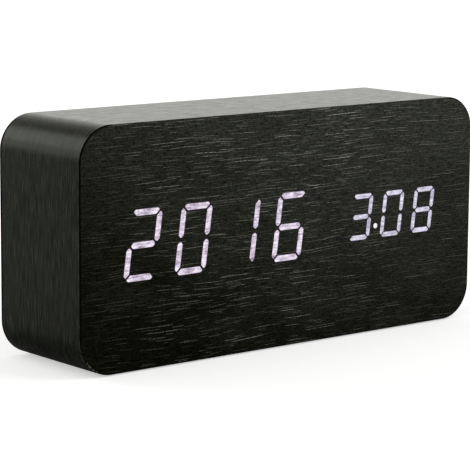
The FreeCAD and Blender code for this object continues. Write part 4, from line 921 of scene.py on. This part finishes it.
DOOR_PIVOT_X = -50.0 * MM
DOOR_END_X = 50.4 * MM
DOOR_THICKNESS = 1.6 * MM
DOOR_CORNER = 0.9 * MM
DOOR_SOFT = 0.3 * MM
GRIP_X = (44.9 * MM, 47.9 * MM)
GRIP_HALF = 6 * MM
GROOVES = 6
GROOVE_PITCH = 1.3 * MM
GROOVE_WIDTH = 0.7 * MM
PANEL_X = ((-46 * MM, -2 * MM), (2 * MM, 46 * MM))
PANEL_HALF = 9.5 * MM
# Wells in the door's faces: corner radius and its steps, depth towards +Y, and the lean of the walls
GRIP_WELL = (1.0 * MM, 6, 0.7 * MM, 0.2 * MM)
GROOVE_WELL = (0.3 * MM, 4, 0.25 * MM, 0.1 * MM)
PANEL_WELL = (1.5 * MM, 6, -0.25 * MM, 0.15 * MM)
# Tongues: reach, thickness, half width, and distance from the door's middle line
TONGUE = (2.6 * MM, 0.7 * MM, 2.0 * MM, 5.0 * MM)
TONGUE_CORNER = 0.3 * MM
# The latch from the side: X, and height above the door's inner face
LATCH = [(x * MM, z * MM) for x, z in ((48.95, 0.0), (49.95, 0.0), (49.95, 1.2), (50.45, 1.7),
                                       (49.95, 2.2), (48.95, 2.2))]
LATCH_HALF = 4.0 * MM


def prism(build, outline, low, high, place=lambda a, b, level: (a, b, level)):
    """A straight prism. place turns a point of the outline and a level into X, Y and Z."""
    ends = [build.ring([place(a, b, level) for a, b in outline]) for level in (low, high)]
    build.band(ends[0], ends[1], 0, smooth=False)
    build.face(ends[0][::-1])
    build.face(ends[1])


def recess(build, box, face, corner, steps, depth, lean):
    """A well in a face, its walls leaning inwards. Returns the well's ring in the face."""
    outline = rounded_box(*box, corner, steps)
    mouth = build.ring(at_depth(outline, face))
    bottom = build.ring(at_depth(inset(outline, lean), face + depth))
    build.band(mouth, bottom, 0, smooth=False)
    build.sheet([bottom])
    return mouth


def door_rings(build, outer, inner, half_width):
    """The door's rim in rings from face to face, softened, and round at the pivot."""
    round_end = DOOR_THICKNESS / 2
    levels = [outer + DOOR_SOFT * (1 - math.cos(math.radians(t))) for t in (0, 30, 60, 90)]
    levels += [outer + DOOR_THICKNESS * part for part in (0.35, 0.5, 0.65)]
    levels += [inner - DOOR_SOFT * (1 - math.cos(math.radians(t))) for t in (90, 60, 30, 0)]
    rings = []
    for level in levels:
        near = min(level - outer, inner - level, DOOR_SOFT)
        back = DOOR_SOFT - math.sqrt(max(0.0, DOOR_SOFT ** 2 - (DOOR_SOFT - near) ** 2))
        bulge = math.sqrt(max(0.0, round_end ** 2 - (level - outer - round_end) ** 2))
        outline = rounded_box(DOOR_PIVOT_X - bulge, -half_width + back, DOOR_END_X - back,
                              half_width - back, DOOR_CORNER, 6)
        rings.append(build.ring(at_depth(outline, level)))
    return rings


def battery_door(material):
    """The door lies flat at first with its outer face towards -Y, and is then turned to face down."""
    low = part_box("battery_door")[0]
    outer = low.z
    inner = low.z + DOOR_THICKNESS
    build = Build()
    rings = door_rings(build, outer, inner, -low.y)
    for one, other in zip(rings, rings[1:]):
        build.band(one, other)
    grip = (GRIP_X[0], -GRIP_HALF, GRIP_X[1], GRIP_HALF)
    outside = [rings[0], recess(build, grip, outer, *GRIP_WELL)]
    for i in range(GROOVES):
        x = GRIP_X[0] - GROOVE_PITCH * (i + 1)
        groove = (x - GROOVE_WIDTH / 2, -GRIP_HALF, x + GROOVE_WIDTH / 2, GRIP_HALF)
        outside.append(recess(build, groove, outer, *GROOVE_WELL))
    build.sheet(outside)
    inside = [rings[-1]]
    for start, end in PANEL_X:
        inside.append(recess(build, (start, -PANEL_HALF, end, PANEL_HALF), inner, *PANEL_WELL))
    build.sheet(inside)
    build.vertices = [(x, -z, y) for x, y, z in build.vertices]
    reach, thickness, half, spread = TONGUE
    for side in (-spread, spread):
        outline = rounded_box(DOOR_PIVOT_X - reach, side - half, DOOR_PIVOT_X, side + half,
                              TONGUE_CORNER, 3)
        prism(build, outline, inner - thickness, inner)
    prism(build, LATCH, -LATCH_HALF, LATCH_HALF, lambda a, b, level: (a, level, inner + b))
    add_shell("battery_door_ribbed", build, material, "battery_door", "battery_door")


STROKE_RIM = 0.11 * MM


def lit_pieces(outlines, materials):
    """The parts of the front film that the lamps shine through."""
    for name, strokes in outlines.items():
        family = name.split("_")[-1]
        build = Build()
        rim = []
        for stroke in strokes:
            outer = build.ring(at_depth(stroke, case_low.y))
            inner = build.ring(at_depth(inset(stroke, STROKE_RIM), case_low.y))
            back = build.ring(at_depth(stroke, case_high.y))
            rim += [1.0] * len(outer) + [0.0] * len(inner) + [1.0] * len(back)
            build.band(outer, inner, 0, smooth=False)
            build.sheet([inner])
            build.band(back, outer, 0, smooth=False)
            build.sheet([back], 0, flip=True)
        piece = add_piece(name, build, [materials[family]], "case")
        attribute = piece.data.attributes.new("rim", "FLOAT", "POINT")
        attribute.data.foreach_set("value", rim)


# Film round the sides

TRAY_OPENING = (112.9 * MM, 33.3 * MM)
TRAY_RADIUS = 2.65 * MM
WRAP_FOLD = 4.4 * MM
WRAP_ROUNDING = 1.2 * MM
DEPTH_STEPS = 8
# How far before the rear bend the two sides turn black as painted shade, and how many of its last bands
# do all round
SIDE_PAINTED_SHADE = 0.45 * MM
BLACK_BANDS = 2
wrap_outline = inward(wrap_low, wrap_high, CORNER_RADIUS)


def cut(piece, outline, low_z, high_z, material):
    """Cuts an upright prism out of a piece. The outline is in X and Y."""
    build = Build()
    prism(build, outline, low_z, high_z)
    mesh = bpy.data.meshes.new("cutter")
    mesh.from_pydata(build.vertices, [], build.faces)
    mesh.materials.append(material)
    cutter = in_scene("cutter", mesh)
    modifier = piece.modifiers.new("opening", "BOOLEAN")
    modifier.operation = "DIFFERENCE"
    modifier.object = cutter
    modifier.material_mode = "TRANSFER"
    apply(piece, modifier)
    bpy.data.objects.remove(cutter)
    bpy.data.meshes.remove(mesh)


def wrap_profile():
    """The film's section, as distances inwards and levels, and the number of its first flat band."""
    front = case_high.y
    rear = wrap_high.y
    inside = rear - FILM
    side_shade_from = rear - WRAP_ROUNDING - SIDE_PAINTED_SHADE
    profile = [(0.0, front + (side_shade_from - front) * i / DEPTH_STEPS) for i in range(DEPTH_STEPS + 1)]
    profile.append((0.0, rear - WRAP_ROUNDING))
    profile += rounded_rim(WRAP_ROUNDING, rear)
    flat_from = len(profile) - 1
    profile += [(WRAP_FOLD, rear), (WRAP_FOLD, inside), (WRAP_ROUNDING, inside),
                (FILM, inside - (WRAP_ROUNDING - FILM)), (FILM, front)]
    return profile, flat_from


def running_lengths(points, last):
    """How far each point is from the first along the line, and the end of one more stretch."""
    lengths = [0.0]
    for one, other in zip(points, points[1:]):
        lengths.append(lengths[-1] + math.dist(one, other))
    return lengths + [lengths[-1] + last]


def side_wrap(film, edge):
    """Wood film round the four sides, turned over the rear rim, whose bend is black, and on the two sides
    black over a wider band of painted shade.
    """
    build = Build()
    base = wrap_outline(0.0)
    profile, flat_from = wrap_profile()
    lengths = running_lengths(base, math.dist(base[-1], base[0]))
    depths = running_lengths(profile, FILM)
    rings = [build.ring(at_depth(wrap_outline(offset), y)) for offset, y in profile]
    for k, one in enumerate(rings):
        other = rings[(k + 1) % len(rings)]
        for i in range(len(base)):
            j = (i + 1) % len(base)
            # Painted shade: on the two sides the black begins before the bend
            beside = abs(base[i][0] + base[j][0]) / 2 > wrap_high.x - CORNER_RADIUS / 2
            black_from = DEPTH_STEPS if beside else flat_from - BLACK_BANDS
            material = 1 if black_from <= k < flat_from else 0
            uv = ((lengths[i + 1], depths[k]), (lengths[i], depths[k]),
                  (lengths[i], depths[k + 1]), (lengths[i + 1], depths[k + 1]))
            build.face((one[j], one[i], other[i], other[j]), material, k <= flat_from, uv)
    piece = add_piece("side_wrap", build, [film, edge], "case", ["perimeter_wrap"],
                      finished=False)
    width, depth = TRAY_OPENING
    opening = rounded_box(-width / 2, -depth / 2, width / 2, depth / 2, TRAY_RADIUS, 8)
    cut(piece, opening, wrap_low.z - MM, wrap_low.z + MM, edge)
    weigh_normals(piece)


# Camera, light and floor

LENS_PIXELS = 2185.34
PHOTO_WIDTH = 470
SENSOR = 36.0
CAMERA_PLACE = (-0.413882, -0.500908, 0.137524)
CAMERA_TURN = (80.6773, -0.3662, -39.23)
CLIP = (0.01, 50.0)


def camera():
    data = bpy.data.cameras.new("camera")
    data.sensor_fit = "HORIZONTAL"
    data.sensor_width = SENSOR
    data.lens = LENS_PIXELS * SENSOR / PHOTO_WIDTH
    data.clip_start, data.clip_end = CLIP
    item = in_scene("camera", data)
    item.location = CAMERA_PLACE
    item.rotation_euler = [math.radians(angle) for angle in CAMERA_TURN]
    bpy.context.scene.camera = item


FLOOR_HALF = 6.0
FLOOR_COLOUR = (0.8, 0.8, 0.8, 1.0)
# The reflected floor grows paler between these distances from the case: a painted contact shadow
CONTACT = (2 * MM, 30 * MM)
# The floor's shade close to the case, painted dark there as a shadow for glossy rays, its shade away from
# it, and its glow
TO_LENS = (0.91, 0.91, 0.46)
TO_GLOSS = (0.12, 0.8, 0.02)


def glowing(net, pale, near, far, glow):
    """A matt surface that grows from one grey to another, with a glow of its own."""
    shade = net.blend(pale, [near] * 3, [far] * 3)
    matt = net.node("BsdfDiffuse", {"Color": shade})
    bright = net.node("Emission", {"Strength": glow})
    return net.node("AddShader", {0: matt.outputs[0], 1: bright.outputs[0]}).outputs[0]


def floor():
    """White ground, brighter to the lens, with a painted shadow beside the case that glossy reflections
    see.
    """
    half = FLOOR_HALF
    mesh = bpy.data.meshes.new("floor")
    mesh.from_pydata([(-half, -half, 0), (half, -half, 0), (half, half, 0), (-half, half, 0)], [],
                     [(0, 1, 2, 3)])
    item = in_scene("floor", mesh)
    net = Net("floor_white")
    path = net.node("LightPath").outputs
    lens = net.math("MAXIMUM", path["Is Camera Ray"], path["Is Transmission Ray"])
    x, y = net.axes(net.place())[:2]
    # Painted contact shadow: the floor is darker near the case, for glossy rays only
    away = net.math("MAXIMUM", net.total(net.math("ABSOLUTE", x), -case_high.x),
                    net.total(net.math("ABSOLUTE", y), case_low.y))
    pale = net.span(away, *CONTACT)
    matt = net.node("BsdfDiffuse", {"Color": FLOOR_COLOUR}).outputs[0]
    to_gloss = glowing(net, pale, *TO_GLOSS)
    to_lens = glowing(net, pale, *TO_LENS)
    mixed = net.node("MixShader", {0: path["Is Glossy Ray"], 1: matt, 2: to_gloss}).outputs[0]
    mixed = net.node("MixShader", {0: lens, 1: mixed, 2: to_lens}).outputs[0]
    net.node("OutputMaterial", {0: mixed})
    mesh.materials.append(net.owner)


def lamp(name, place, target, size, radiance):
    """A soft rectangular lamp of a given brightness, aimed at a point."""
    data = bpy.data.lights.new(name, "AREA")
    data.shape = "RECTANGLE"
    data.size, data.size_y = size
    data.energy = radiance * math.pi * size[0] * size[1]
    item = in_scene(name, data)
    item.location = place
    item.rotation_euler = (Vector(target) - Vector(place)).to_track_quat("-Z", "Y").to_euler()
    item.visible_camera = False


# Name, place, the point it looks at, width and height, and radiance of each lamp
LAMPS = (
    ("lamp_back_left", (-0.48, 0.98, 0.66), (-0.07, 0.0, 0.06), (0.44, 0.52), 2.9),
    ("lamp_back_low", (-0.72, 0.92, 0.34), (-0.07, 0.0, 0.06), (0.5, 0.34), 1.6),
    ("lamp_key", (0.75, -0.85, 0.85), (0.0, 0.0, 0.035), (0.7, 0.7), 3.0),
)
# The sky changes between two heights, from its strength below them to its strength above
SKY_HEIGHTS = (0.36, 0.58)
SKY_STRENGTHS = (1.34, 0.38)
SKY_COLOUR = (1.0, 1.0, 0.955, 1.0)


def studio():
    world = bpy.data.worlds.new("studio")
    bpy.context.scene.world = world
    net = Net(world)
    up = net.axes(net.node("TexCoord").outputs["Generated"])[2]
    level = net.span(up, *SKY_HEIGHTS, *SKY_STRENGTHS, smooth=True)
    background = net.node("Background", {"Color": SKY_COLOUR, "Strength": level})
    net.node("OutputWorld", {0: background.outputs[0]})
    for settings in LAMPS:
        lamp(*settings)


# The model

camera()
floor()
studio()
outlines = lit_outlines()
edge_black_and_painted_shade = film_edge_and_painted_shade()
rear_film = film_rear()
by_slot = slot_materials()
dress_nodes(by_slot, rear_film)
front_sheet(outlines, film_front(), edge_black_and_painted_shade)
lit_pieces(outlines, {family: lit_film(family) for family in LIT_TINTS})
side_wrap(film_wrap(), edge_black_and_painted_shade)
rear_sheet(rear_film, edge_black_and_painted_shade)
for button in BUTTONS:
    push_button(button, by_slot["button_black"])
feet(by_slot["rubber_pad"])
battery_door(by_slot["black_plastic"])

scene_view = bpy.context.scene.view_settings
scene_view.view_transform = "Standard"
